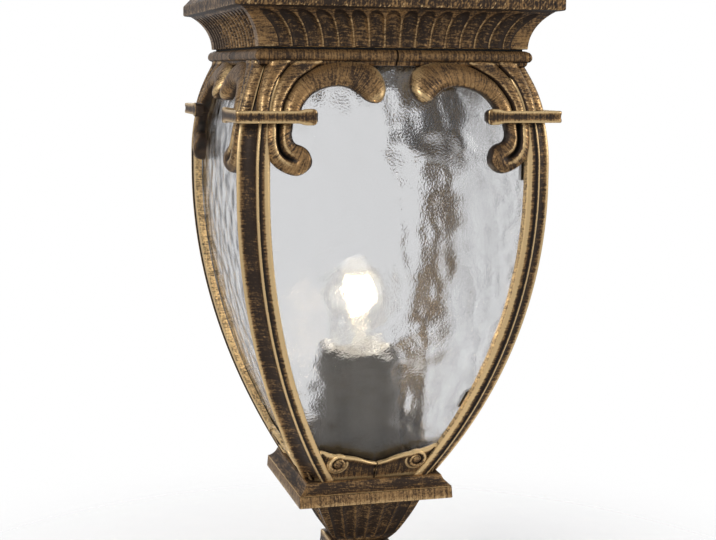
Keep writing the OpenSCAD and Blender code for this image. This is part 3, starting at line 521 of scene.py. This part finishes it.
def smooth_curve(knots, count):
    """A Catmull-Rom curve through the knots, read at count places evenly spaced along its length, and the
    distance of each place from its start."""
    p = np.asarray(knots, float)
    p = np.concatenate([2 * p[:1] - p[1:2], p, 2 * p[-1:] - p[-2:-1]])
    t = np.linspace(0, 1, 16, endpoint=False)[None, :, None]
    a, b, c, d = (p[k:len(p) - 3 + k][:, None] for k in range(4))
    fine = 0.5 * (
        2 * b + (c - a) * t + (2 * a - 5 * b + 4 * c - d) * t ** 2 + (3 * b - a - 3 * c + d) * t ** 3)
    fine = np.concatenate([fine.reshape(-1, p.shape[1]), p[-2:-1]])
    run = np.concatenate([[0], np.cumsum(np.linalg.norm(np.diff(fine, axis=0), axis=1))])
    at = np.linspace(0, 1, count) * run[-1]
    return np.stack([np.interp(at, run, fine[:, k]) for k in range(p.shape[1])], 1), at


def rib_skin():
    """The rib: its plan section, with a flat flange, a fine bead and a hollow corner, carried up the bowed
    outline. It narrows by 16 hundredths towards the rail."""
    flange = np.array([
        (18, 6), (18, 3.2), (17.8, 2.2), (17.2, 1.5), (16.2, 1.15), (14.8, 1.0), (13.4, 1.05), (12.4, 1.25),
        (11.9, 1.35), (11.5, 1.0), (11.15, 0.45), (10.75, 0.15), (10.3, 0.15), (9.95, 0.5), (9.7, 1.2),
        (9.6, 2.2), (9.65, 3.2)])
    hollow = arc((2.6, 2.6), 7.1, 6, 84, 13)
    tongue = [(6, 15), (13, 15), (14.4, 14.4), (15, 13), (15, 6)]
    section = np.concatenate([flange, hollow, flange[::-1, ::-1], tongue])
    z = np.linspace(0, rail_z + 2, 84)
    narrow = 1 - 0.16 * np.clip((z - 215) / 42, 0, 1)
    p = cage_half(z)
    rings = np.stack([
        section[None, :, 0] * narrow[:, None] - p[:, None],
        section[None, :, 1] * narrow[:, None] - p[:, None],
        np.broadcast_to(z[:, None], (len(z), len(section)))], -1)
    return closed_tube(rings, z[:, None])


def strand_skin(left_edge, right_edge, low, high, tip=0.0, rows=46, cols=16, power=2.6, groove=None):
    """A strand of scrollwork between two edge curves (x, z). High is a list of knots (share of length, mm).
    Across the strand its front rises from low at the edges to high in a flattened crown: the power-th root
    of one less the power-th power of the distance from the middle. Its back is flat. With a tip, that last
    share of its length closes as a quarter ellipse. A groove is its place across, depth, width and end."""
    a, run = smooth_curve(left_edge, rows)
    b, _ = smooth_curve(right_edge, rows)
    t = np.linspace(0, 1, rows)
    c = (1 - np.cos(np.linspace(0, math.pi, cols))) / 2
    crown = (1 - np.abs(2 * c - 1) ** power) ** (1 / power)
    tall = np.interp(t, *np.array(high).T)
    if tip:
        tall = low + (tall - low) * np.sqrt(np.clip(1 - (np.maximum(t - 1 + tip, 0) / tip) ** 2, 0, 1))
    proud = low + (tall - low)[:, None] * crown[None, :]
    if groove is not None:
        at, depth, width, ends = groove
        proud -= depth * np.exp(-((c[None, :] - at) / width) ** 2) * np.clip((ends - t) / 0.15, 0, 1)[:, None]
    x = a[:, :1] * (1 - c) + b[:, :1] * c
    z = a[:, 1:] * (1 - c) + b[:, 1:] * c
    front = face_point(x, z, proud)
    rear = face_point(x[:, [-1, 0]], z[:, [-1, 0]], scroll_back)
    return closed_tube(np.concatenate([front, rear], 1), run[:, None])


# Edge curves on the front face, left of the middle: x and height above the plate
strand_1 = [(-83.0, 226), (-83.3, 233.3), (-81.6, 242.4), (-75.6, 258.5), (-73.5, 263)]
strand_12 = [(-75.9, 226), (-76.5, 231.5), (-74, 241.3), (-69.6, 249.8), (-61, 259.3), (-56.5, 263)]
strand_23 = [(-68.3, 226), (-69.1, 231.3), (-66.6, 238.5), (-59.5, 248.2), (-51, 254), (-43.5, 258.2),
             (-37, 262)]
leaf_outer = [(-68.3, 226), (-69.1, 231.3), (-66.6, 238.5), (-59.5, 248.2), (-50, 254.8), (-41, 258.3),
              (-30, 259.8), (-18.5, 258.8), (-10.6, 254), (-7.6, 245.2), (-9.6, 238.2), (-12.9, 235.6)]
leaf_inner = [(-57.3, 226), (-57.6, 232.6), (-51.8, 239.7), (-45.6, 243.1), (-37.7, 244.9), (-30, 244.3),
              (-24.2, 240.9), (-19.7, 237.2), (-16, 235.7), (-12.9, 235.6)]
hook_outer = [(-79.2, 229), (-79.6, 219), (-79.2, 211), (-76.7, 203.2), (-70.9, 197.8), (-63.2, 194.8),
              (-57.9, 195.9), (-53.9, 199.9), (-53.1, 203.9)]
hook_inner = [(-62.6, 229), (-63.4, 222), (-64.1, 218.6), (-63.6, 215.3), (-61.9, 213), (-57.8, 211.3),
              (-54.8, 208.7), (-53.1, 203.9)]


def sill_skin():
    """Half of the bottom rail: its face leans in below a rolled upper edge that rises towards the rib."""
    x = -np.linspace(0.5, 38, 40)
    knots = np.array([(0.0, 11.6), (6, 13.2), (15, 16.7), (27.5, 19.3), (36, 22.5)])
    crest, _ = smooth_curve(knots, 60)
    top_z = np.interp(-x, crest[:, 0], crest[:, 1])
    share = np.array([0, 0, 0.25, 0.5, 0.68, 0.76, 0.82, 0.88, 0.94, 0.98, 1.0, 0.98, 0.5, 0])
    proud = np.array([
        scroll_back, -2.6, -2.9, -3.0, -2.9, -2.5, -1.7, -1.1, -1.0, -1.5, -2.8,
        scroll_back, scroll_back, scroll_back])
    z = top_z[:, None] * share[None, :]
    sunk = np.clip((-x - 30) / 6, 0, 1)[:, None] ** 2
    rings = face_point(x[:, None], z, np.maximum(proud[None, :] - 1.6 * sunk, scroll_back))
    return closed_tube(rings, -x[:, None])


def volute_skins():
    """The scroll at the foot: a tapering round cord on an inward spiral over a domed boss."""
    cx, cz, turns = -25.4, 11.9, 1.35
    t = np.linspace(0, 1, 72)
    radius = 6.0 - 4.0 * t
    angle = math.radians(62) + 2 * math.pi * turns * t
    thick = 1.6 - 0.7 * t
    x, z = cx + radius * np.cos(angle), cz + radius * np.sin(angle)
    ring = np.linspace(0, 2 * math.pi, 14, endpoint=False)
    out_x = x[:, None] + thick[:, None] * np.cos(ring) * np.cos(angle)[:, None]
    out_z = z[:, None] + thick[:, None] * np.cos(ring) * np.sin(angle)[:, None]
    cord = face_point(out_x, out_z, -1.9 + 1.25 * thick[:, None] * np.sin(ring))
    dome_r = np.array([7.2, 7.1, 6.5, 5.0, 3.0, 2.6, 2.2, 1.6, 0.8])
    dome_h = np.array([scroll_back, -3.0, -2.3, -2.4, -2.6, -1.6, -0.9, -0.35, -0.1])
    a = np.linspace(0, 2 * math.pi, 28, endpoint=False)
    dome = face_point(cx + dome_r[:, None] * np.cos(a), cz + dome_r[:, None] * np.sin(a), dome_h[:, None])
    cord_length = 30
    return [closed_tube(cord, cord_length * t[:, None]), closed_tube(dome, dome_r[:, None])]


def swept_band(section, inner_half, end, corner, swell=None):
    """A bar bent round the corner: its section (distance out from inner_half, height) is carried along the
    front from end, a distance left of the middle, to the corner, round a small arc, and along the left side
    as far. Swell gives the share of its height at a distance from the end; below 1 it thins as well."""
    out, z = section.T
    mid = (z.max() + z.min()) / 2
    leg = np.concatenate([
        np.linspace(0, 0.06, 8, endpoint=False), np.linspace(0.06, 0.3, 10, endpoint=False),
        np.linspace(0.3, 1, 30)])
    flat = inner_half + out.max() - corner
    x = end + leg * (flat - end)
    grow = np.ones_like(x) if swell is None else swell(x - end)
    half = inner_half + out[None, :] * np.minimum(grow, 1)[:, None]
    tall = mid + (z - mid)[None, :] * grow[:, None]
    front = np.stack([np.broadcast_to(-x[:, None], half.shape), -half, tall], -1)
    a = np.radians(np.linspace(0, 90, 8)[1:-1])[:, None]
    reach = half[-1] - flat
    outward, inward = np.maximum(reach, 0), np.minimum(reach, 0)
    bend = np.stack([
        -flat - inward - outward * np.sin(a), -flat - inward - outward * np.cos(a),
        np.broadcast_to(tall[-1], (len(a), len(z)))], -1)
    front[-1, :, 0] = np.where(reach < 0, -flat - reach, front[-1, :, 0])
    side = front[::-1][:, :, [1, 0, 2]]
    bend_run = 8
    run = np.concatenate([x, x[-1] + np.arange(len(a)), x[-1] + bend_run + (x[-1] - x[::-1])])
    return closed_tube(np.concatenate([front, bend, side]), run[:, None])


def strap_skin():
    """The strap that binds the scrollwork: a flat bar with rounded edges and a slightly hollow face, taller
    near its ends."""
    section = np.array([
        (0, 225.0), (4.6, 224.5), (5.3, 224.65), (5.7, 225.2), (5.65, 226.2), (5.35, 227.2), (5.3, 228),
        (5.35, 228.8), (5.65, 229.8), (5.7, 230.8), (5.3, 231.35), (4.6, 231.5), (0, 231.0)])

    def swell(away):
        return 1 + 0.32 * np.exp(-((away - 4.6) / 5.0) ** 4) - 0.42 * np.exp(-(away / 1.1) ** 2)

    return swept_band(section, 91.7, 50.4, 1.8, swell)


def rail_skin():
    """Half of two top rails, mitred at the corner: a bar with a rounded nose over a small step. The brush
    hardly touched it."""
    section = np.array([
        (0, 0), (12.5, 0), (14.3, -0.25), (15.9, -1.0), (17.0, -2.2), (17.5, -3.7), (17.45, -4.9),
        (16.9, -5.9), (15.9, -6.6), (15.0, -6.9), (14.9, -7.7), (14.4, -8.8), (13.2, -9.4), (0, -9.4)])
    section[:, 1] += rail_top
    return *swept_band(section, 66, 0.5, 1.6), 0.15


left_face = [
    strand_skin(strand_1, strand_12, -4.4, [(0, 1.2), (0.85, 0.8), (1, -1.6)]),
    strand_skin(strand_12, strand_23, -4.4, [(0, 1.4), (0.85, 0.7), (1, -1.6)]),
    strand_skin(leaf_outer, leaf_inner, -4.6, [(0, 1.6), (0.35, 1.8), (0.75, 3.4), (0.9, 3.8), (1, 3.2)],
                0.14, 84, 20, power=2.2),
    strand_skin(hook_outer, hook_inner, -4.6, [(0, 0.9), (0.45, 1.6), (0.8, 2.6), (1, 2.2)],
                0.16, 64, 26, groove=(0.47, 4.2, 0.10, 0.72)),
    sill_skin(), *volute_skins()]


def mirrored_in_diagonal(skin):
    """The same skin on the left side of the corner: x and y change places."""
    return skin[0][:, [1, 0, 2]], *skin[1:]


def turned(skin, quarter):
    """A skin lifted to the plate and turned by quarters of a turn."""
    c, s = round(math.cos(quarter * math.pi / 2)), round(math.sin(quarter * math.pi / 2))
    return skin[0] @ np.array([[c, s, 0], [-s, c, 0], [0, 0, 1]]) + (0, 0, cage_z), *skin[1:]


corner_skins = [rib_skin(), strap_skin(), rail_skin(), *left_face, *map(mirrored_in_diagonal, left_face)]
for quarter, corner_name in enumerate(["front_left", "front_right", "rear_right", "rear_left"]):
    casting(f"cage_{corner_name}", [turned(s, quarter) for s in corner_skins], bronze,
            [f"corner_{corner_name}"], full=0.45)

# Water glass: four bowed panes of clear cast glass, held behind the ribs by steel clips. The
# sheet was rolled while soft, so its faces have long swells and a fine ripple.


def water_glass():
    """Faintly tinted glass with a broad and a fine unevenness of its face, which casts hardly a shadow."""
    glass = bpy.data.materials.new("water_glass")
    glass.use_nodes = True
    nodes, links = glass.node_tree.nodes, glass.node_tree.links
    skin = nodes["Principled BSDF"]
    skin.inputs["Base Color"].default_value = (0.81, 0.812, 0.818, 1)
    skin.inputs["Roughness"].default_value = 0.0
    skin.inputs["IOR"].default_value = 1.48
    skin.inputs["Specular IOR Level"].default_value = 0.15
    skin.inputs["Transmission Weight"].default_value = 1.0
    where = nodes.new("ShaderNodeTexCoord").outputs["Object"]
    swell = stretched_noise(nodes, links, where, 90, 0, 0.5)
    ripple = stretched_noise(nodes, links, where, 760, 2, 0.55)
    height = weighted(nodes, links, [(swell, 1.5), (ripple, 0.46)])
    bump = nodes.new("ShaderNodeBump")
    bump.inputs["Strength"].default_value = 1.0
    bump.inputs["Distance"].default_value = 0.0003
    links.new(height, bump.inputs["Height"])
    links.new(bump.outputs[0], skin.inputs["Normal"])
    ray = nodes.new("ShaderNodeLightPath")
    clear = nodes.new("ShaderNodeBsdfTransparent")
    clear.inputs["Color"].default_value = (0.9, 0.9, 0.9, 1)
    mix = nodes.new("ShaderNodeMixShader")
    links.new(ray.outputs["Is Shadow Ray"], mix.inputs[0])
    links.new(skin.outputs[0], mix.inputs[1])
    links.new(clear.outputs[0], mix.inputs[2])
    links.new(mix.outputs[0], nodes["Material Output"].inputs["Surface"])
    return glass


glass = water_glass()


def pane_skin(seed):
    """A bowed slab whose outer face runs 6.45 mm inside the cage outline, its rolled inner face 8.86 mm and
    its side edges 15.6 mm. Sums of sine swells move the outer face by up to 0.15 mm, the inner by 0.42."""
    draw = np.random.default_rng(seed)
    rows, cols = 130, 84
    swell_count, short_wave, long_wave = 26, 10, 26
    z = np.linspace(0.4, rail_z - 0.4, rows)[:, None]
    x = np.linspace(-1, 1, cols)[None, :] * (cage_half(z) - 15.6)
    faces = []
    for inside, deep in ((6.45, 0.15), (8.86, 0.42)):
        swell = np.zeros((rows, cols))
        for _ in range(swell_count):
            way = draw.uniform(0, math.pi)
            wave = draw.uniform(short_wave, long_wave)
            phase = draw.uniform(0, 2 * math.pi)
            crest = np.sin(2 * math.pi * (x * math.cos(way) + z * math.sin(way)) / wave + phase)
            swell += crest * wave / long_wave
        faces.append(face_point(x, z, -inside + np.clip(swell * deep / 4.0, -deep, deep)))
    outer, inner = faces
    rings = np.concatenate([outer, inner[:, ::-1]], 1)
    return closed_tube(rings, z)


for quarter, pane_name in enumerate(["front", "right", "rear", "left"]):
    casting(f"pane_{pane_name}", [turned(pane_skin(11 + quarter), quarter)], glass,
            [f"glass_{pane_name}"], rounds=1)

# Roof: one aluminium casting with a hollow fluted cornice, a hammered eave and a steep hip roof
# that ends in a flat block. It rests on the rails, held down by the finial on its stud.

cornice_z, cornice_h, soffit_z, eave_z, eave_half, block_half = 394.4, 21.5, 416.7, 423.6, 97.7, 20
cove_foot, cove_reach, roof_pitch = 81.2, 11.6, 48
cove_r = (cove_reach ** 2 + cornice_h ** 2) / (2 * cove_reach)
# Sixteen channels a side fan out upwards and end in arches; a channel takes 0.9 of its own pitch
channels, foot_pitch, head_pitch, channel_half, channel_depth = 16, 10.43, 11.08, 0.45, 2.5
arch_top = cornice_h - 0.9
arch_foot = arch_top - channel_half * head_pitch
rows_up = np.concatenate([
    np.linspace(0.25, arch_foot, 15),
    arch_foot + channel_half * head_pitch * np.sin(np.radians(np.linspace(0, 90, 15)))[1:],
    [cornice_h - 0.6, cornice_h - 0.3, cornice_h]])
cove_half = cove_foot + cove_r - np.sqrt(cove_r ** 2 - rows_up ** 2)
slope_top = eave_z + (eave_half - block_half) * math.tan(math.radians(roof_pitch))
roof_profile = np.concatenate([
    [[73, cornice_z]], [[80.9, cornice_z]], np.stack([cove_half, cornice_z + rows_up], 1),
    chain((cove_half[-1] + 0.3, soffit_z - 0.5), (96.6, soffit_z), (97.3, soffit_z + 0.2),
          (eave_half, soffit_z + 0.8), (eave_half, soffit_z + 2.0), (eave_half, soffit_z + 3.2),
          (eave_half, soffit_z + 4.4), (eave_half, eave_z - 0.7), (97.4, eave_z - 0.1), (96.9, eave_z + 0.5),
          (21.0, slope_top - 0.9), (20.2, slope_top - 0.1), (block_half, slope_top + 0.6),
          (block_half, slope_top + 9.2), (19.8, slope_top + 9.8), (19.2, slope_top + 10),
          (5, slope_top + 10))])
half, height = roof_profile.T
inside = np.array([
    (6, slope_top - 2), (16, slope_top - 2), (90, eave_z - 3), (82, cornice_z + 18), (73, cornice_z + 4)])
# Where the ridges between the channels stand at the cornice's foot and at its arches
ridge_foot = np.concatenate([[-80.4], 1.88 + foot_pitch * np.arange(-7, 8), [80.4]])
ridge_head = 0.3 + head_pitch * np.arange(-8, 9)
step = channel_half * np.cos(np.radians(np.linspace(180, 0, 15)))
per_channel = len(step) + 1
rise_share = np.clip((half - cove_foot) / cove_reach, 0, 1)[:, None]
ridges = ridge_foot + (ridge_head - ridge_foot) * rise_share
centre, width = (ridges[:, 1:] + ridges[:, :-1]) / 2, np.diff(ridges, axis=1)
inner_x = centre[:, :, None] + width[:, :, None] * np.append(step, 0.5)
inner_x = inner_x.reshape(len(half), -1)[:, :-1]
draw_from, draw_margin = 90.4, 2.2
inner_x *= np.minimum(1, (half - draw_margin)[:, None] / draw_from)
flat = half - np.minimum(edge_round, half * 0.45)
margin = np.linspace(0, 1, 4)[1:]
right_x = inner_x[:, -1:] + (flat[:, None] - inner_x[:, -1:]) * margin
left_x = (inner_x[:, :1] + (-flat[:, None] - inner_x[:, :1]) * margin)[:, ::-1]
x_table = np.concatenate([left_x, inner_x, right_x], 1)
plain = height > soffit_z - 0.3
x_table[plain] = flat[plain, None] * np.linspace(-1, 1, x_table.shape[1])
span = np.tile(np.append(step, 0.5), channels)[:-1]
above = np.maximum(height - cornice_z - arch_foot, 0) / (channel_half * head_pitch)
rho = np.hypot(span[None, :] / channel_half, above[:, None])
depth = channel_depth * np.repeat(width / 10.6, per_channel, axis=1)[:, :-1]
dip = np.zeros(x_table.shape)
dip[:, len(margin):-len(margin)] = depth * np.clip(1 - rho ** 2, 0, 1) ** 0.8
dip[(height < cornice_z + 0.1) | (height > cornice_z + cornice_h - 0.1)] = 0
rings = square_rings(half, height, edge_round, x_table, dip)
hollow_x = x_table[-1:] / flat[-1] * (inside[:, :1] - edge_round)
hollow = square_rings(*inside.T, edge_round, hollow_x)
rings = np.concatenate([hollow, rings])
run = np.concatenate([np.arange(len(inside)) * 5.0, run_of(half, height)])[:, None]
on_eave = (height > soffit_z - 0.6) & (height < eave_z + 0.1)
on_eave = np.concatenate([np.zeros(len(inside), bool), on_eave])[:, None]
run = np.where(on_eave, rings[..., 0] + rings[..., 1], run)
skin = closed_tube(rings, run, (0, 0, slope_top - 2), (0, 0, slope_top + 10))
roof = casting("roof_casting", [skin], bronze, ["roof"], full=0.8)
# The whole cornice is painted lighter, as painted light on its downward-looking face, and the brush caught
# the eave's hammered face unevenly
cornice_painted_light, hammer_mean, hammer_spread = 0.30, -0.15, 0.38
raised = roof.data.attributes["stand_out"].data
values = np.empty(len(skin[0]))
raised.foreach_get("value", values)
up = skin[0][:, 2]
# Painted light: the whole cornice band, channels and ridges alike, gets a lift towards rubbed gold
values += cornice_painted_light * ((up > cornice_z) & (up < cornice_z + cornice_h))
hammered = (up > soffit_z - 0.1) & (up < eave_z)
values[hammered] += np.random.default_rng(5).normal(hammer_mean, hammer_spread, hammered.sum())
raised.foreach_set("value", np.clip(values, -1, 1))

# Finial: a turned aluminium knob that screws down on the stud in the roof's middle and clamps
# the roof to the cage.


def turned_rings(profile, count):
    """Spins a profile (radius, height) round the lamp's axis."""
    a = np.linspace(0, 2 * math.pi, count, endpoint=False)
    r, z = profile.T
    up = np.broadcast_to(z[:, None], (len(r), count))
    return np.stack([r[:, None] * np.cos(a), r[:, None] * np.sin(a), up], -1)


finial_z, finial_h = slope_top + 11.5, 43.5
finial_profile = np.concatenate([
    [(4, 0), (13.6, 0), (14, 0.4), (14, 2.5), (13.5, 3), (9.6, 3.1), (9.1, 3.4)],
    arc((9, 4.5), 1.5, -60, 88, 9), [(8.2, 6.05), (6.6, 6.4)], arc((9.2, 9.6), 3.3, 215, 150, 8),
    arc((6, 13), 2, -55, 80, 8), [(5.6, 14.7)], arc((0, 24.5), 11, -58, 66, 26), [(4.2, 34.8), (3.9, 35.2)],
    arc((0, 39), 4.5, -58, 86, 16)])
finial_profile[:, 1] += finial_z
rings = turned_rings(finial_profile, 72)
skin = closed_tube(rings, run_of(*finial_profile.T)[:, None], (0, 0, finial_z), (0, 0, finial_z + finial_h))
casting("finial_casting", [skin], bronze, ["finial"])

# Lamp sleeve: a drawn steel tube, enamelled a warm dark grey, that stands on the plate and
# hides the lampholder from the side.


def plain_finish(name, colour, second, roughness, metallic=0.0, scale=300, bump_mm=0.02, coat=0.0):
    """A finish that wavers between two colours and has a fine unevenness of its own."""
    finish = bpy.data.materials.new(name)
    finish.use_nodes = True
    nodes, links = finish.node_tree.nodes, finish.node_tree.links
    skin = nodes["Principled BSDF"]
    where = nodes.new("ShaderNodeTexCoord").outputs["Object"]
    cloud = stretched_noise(nodes, links, where, scale * 0.15, 3, 0.55)
    fine = stretched_noise(nodes, links, where, scale, 3, 0.6)
    tone = ramp(nodes, links, weighted(nodes, links, [(cloud, 0.6), (fine, 0.4)]), 0.3, 0.7)
    links.new(blended(nodes, links, tone, colour, second), skin.inputs["Base Color"])
    rough = nodes.new("ShaderNodeMapRange")
    rough.inputs["To Min"].default_value = roughness * 0.85
    rough.inputs["To Max"].default_value = roughness * 1.15
    links.new(fine, rough.inputs["Value"])
    links.new(rough.outputs[0], skin.inputs["Roughness"])
    skin.inputs["Metallic"].default_value = metallic
    skin.inputs["Coat Weight"].default_value = coat
    skin.inputs["Coat Roughness"].default_value = 0.25
    bump = nodes.new("ShaderNodeBump")
    bump.inputs["Strength"].default_value = 0.5
    bump.inputs["Distance"].default_value = bump_mm / 1000
    links.new(fine, bump.inputs["Height"])
    links.new(bump.outputs[0], skin.inputs["Normal"])
    return finish


enamel = plain_finish(
    "sleeve_enamel", (0.060, 0.050, 0.036), (0.085, 0.070, 0.052), 0.36, 0.5, 500, coat=0.15)
sleeve_profile = np.concatenate([
    [(5.2, 1.5), (26.2, 1.5), (26.4, 1.8), (26.4, 73.9)], arc((26.9, 74.4), 0.6, 200, 20, 7),
    [(27.4, 73.8), (27.4, 0.6), (27.1, 0.1), (26.6, 0), (5.2, 0)]]) + (0, plate_top)
sides = 96
rings = turned_rings(chain(sleeve_profile), sides)
# Its foot has a hole, so the last ring is joined to the first
k = np.arange(sides)
beside, last = (k + 1) % sides, (len(rings) - 1) * sides
seam = np.stack([last + k, last + beside, beside, k], -1)
sleeve_skin = rings.reshape(-1, 3), [grid_faces(len(rings), sides), seam], rings[..., 2].reshape(-1)
casting("sleeve_tube", [sleeve_skin], enamel, ["lamp_sleeve"])

# Bulb: a clear blown-glass lamp with four glowing filaments on a glass stem, and a
# nickel-plated cap whose rolled thread screws into the lampholder.


def clear_glass():
    """Clear glass with an unevenly dull film, which casts no shadow."""
    glass = bpy.data.materials.new("bulb_clear")
    glass.use_nodes = True
    nodes, links = glass.node_tree.nodes, glass.node_tree.links
    skin = nodes["Principled BSDF"]
    skin.inputs["Base Color"].default_value = (0.97, 0.97, 0.96, 1)
    skin.inputs["IOR"].default_value = 1.47
    skin.inputs["Transmission Weight"].default_value = 1.0
    where = nodes.new("ShaderNodeTexCoord").outputs["Object"]
    film = ramp(nodes, links, stretched_noise(nodes, links, where, 60, 2, 0.5), 0.35, 0.7)
    rough = nodes.new("ShaderNodeMapRange")
    rough.inputs["To Min"].default_value = 0.10
    rough.inputs["To Max"].default_value = 0.22
    links.new(film, rough.inputs["Value"])
    links.new(rough.outputs[0], skin.inputs["Roughness"])
    ray = nodes.new("ShaderNodeLightPath")
    clear = nodes.new("ShaderNodeBsdfTransparent")
    mix = nodes.new("ShaderNodeMixShader")
    links.new(ray.outputs["Is Shadow Ray"], mix.inputs[0])
    links.new(skin.outputs[0], mix.inputs[1])
    links.new(clear.outputs[0], mix.inputs[2])
    links.new(mix.outputs[0], nodes["Material Output"].inputs["Surface"])
    return glass


bulb_glass = clear_glass()
globe_z, globe_r, globe_wall = 237.7, 22.5, 0.8
globe = arc((0, globe_z), globe_r, 88, -57, 40)
outer = np.concatenate([globe, [(12.25, 213.2), (12.2, 209.5), (12.2, 201.8)]])
inner = outer[::-1] - (globe_wall, 0)
inner[-len(globe):] = arc((0, globe_z), globe_r - globe_wall, 88, -57, 40)[::-1]
bulb_profile = np.concatenate([outer, inner])
rings = turned_rings(bulb_profile, 80)
skin = closed_tube(
    rings, bulb_profile[:, 1:], (0, 0, globe_z + globe_r), (0, 0, globe_z + globe_r - globe_wall))
casting("bulb_envelope", [skin], bulb_glass, ["bulb_glass"], rounds=1)

nickel = plain_finish("cap_nickel", (0.62, 0.61, 0.58), (0.72, 0.71, 0.69), 0.28, 1.0, 700, 0.01)
cap_foot, cap_top, thread_r, thread_depth, thread_pitch = 182.7, 207.5, 12.55, 0.4, 3.62
cap_rows = np.linspace(187.9, cap_top, 90)[:, None]
a = np.linspace(0, 2 * math.pi, 72, endpoint=False)
runs_out = np.clip((cap_top - 2 - cap_rows) / 1.5, 0, 1)
thread = thread_r + thread_depth * runs_out * np.cos(
    2 * math.pi * (cap_rows - 188) / thread_pitch - a[None, :])
thread_rings = np.stack([thread * np.cos(a), thread * np.sin(a), np.broadcast_to(cap_rows, thread.shape)], -1)
foot = turned_rings(np.array([(4.5, 182.8), (4.5, 184.6), (6, 184.9), (11.8, 187.6)]), len(a))
cap_rings = np.concatenate([foot, thread_rings])
skin = closed_tube(cap_rings, cap_rings[..., 2], (0, 0, cap_foot), (0, 0, cap_top))
casting("bulb_screw_cap", [skin], nickel, ["bulb_cap"])

filament = bpy.data.materials.new("filament_glow")
filament.use_nodes = True
skin = filament.node_tree.nodes["Principled BSDF"]
skin.inputs["Base Color"].default_value = (1, 0.8, 0.5, 1)
skin.inputs["Emission Color"].default_value = (1, 0.82, 0.55, 1)
skin.inputs["Emission Strength"].default_value = 90

# Fittings: rubber gaskets, zinc-plated steel, brass, porcelain, terminals and wires keep the
# shapes they were drawn with, and each gets the finish of its own stuff.

finishes = {
    "black_rubber": plain_finish(
        "black_rubber", (0.018, 0.018, 0.018), (0.032, 0.031, 0.03), 0.75, 0, 900, 0.05),
    "zinc_steel": plain_finish("zinc_steel", (0.46, 0.46, 0.47), (0.62, 0.62, 0.62), 0.34, 1.0, 500),
    "brass": plain_finish("brass", (0.62, 0.42, 0.15), (0.75, 0.54, 0.24), 0.3, 1.0, 500),
    "porcelain": plain_finish("porcelain", (0.80, 0.79, 0.75), (0.86, 0.85, 0.81), 0.16, coat=0.5),
    "terminal_plastic": plain_finish(
        "terminal_plastic", (0.72, 0.70, 0.62), (0.80, 0.78, 0.70), 0.45, 0, 600),
    "bulb_clear": bulb_glass,
    "filament_glow": filament,
    "brown_wire": plain_finish("brown_wire", (0.15, 0.06, 0.025), (0.2, 0.09, 0.04), 0.45, 0, 400, 0.01),
    "blue_wire": plain_finish("blue_wire", (0.03, 0.1, 0.36), (0.05, 0.14, 0.42), 0.45, 0, 400, 0.01),
    "green_wire": plain_finish("green_wire", (0.08, 0.28, 0.07), (0.55, 0.5, 0.06), 0.45, 0, 260, 0.01),
}
replaced = {n for o in bpy.data.objects if "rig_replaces" in o for n in o["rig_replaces"]}
for row in frame["record"]["subparts"]:
    node, slot = row["node"], row["material_slot"]
    if node in frame["nodes"] and node not in replaced and slot in finishes:
        mesh = frame["nodes"][node].data
        mesh.materials.clear()
        mesh.materials.append(finishes[slot])
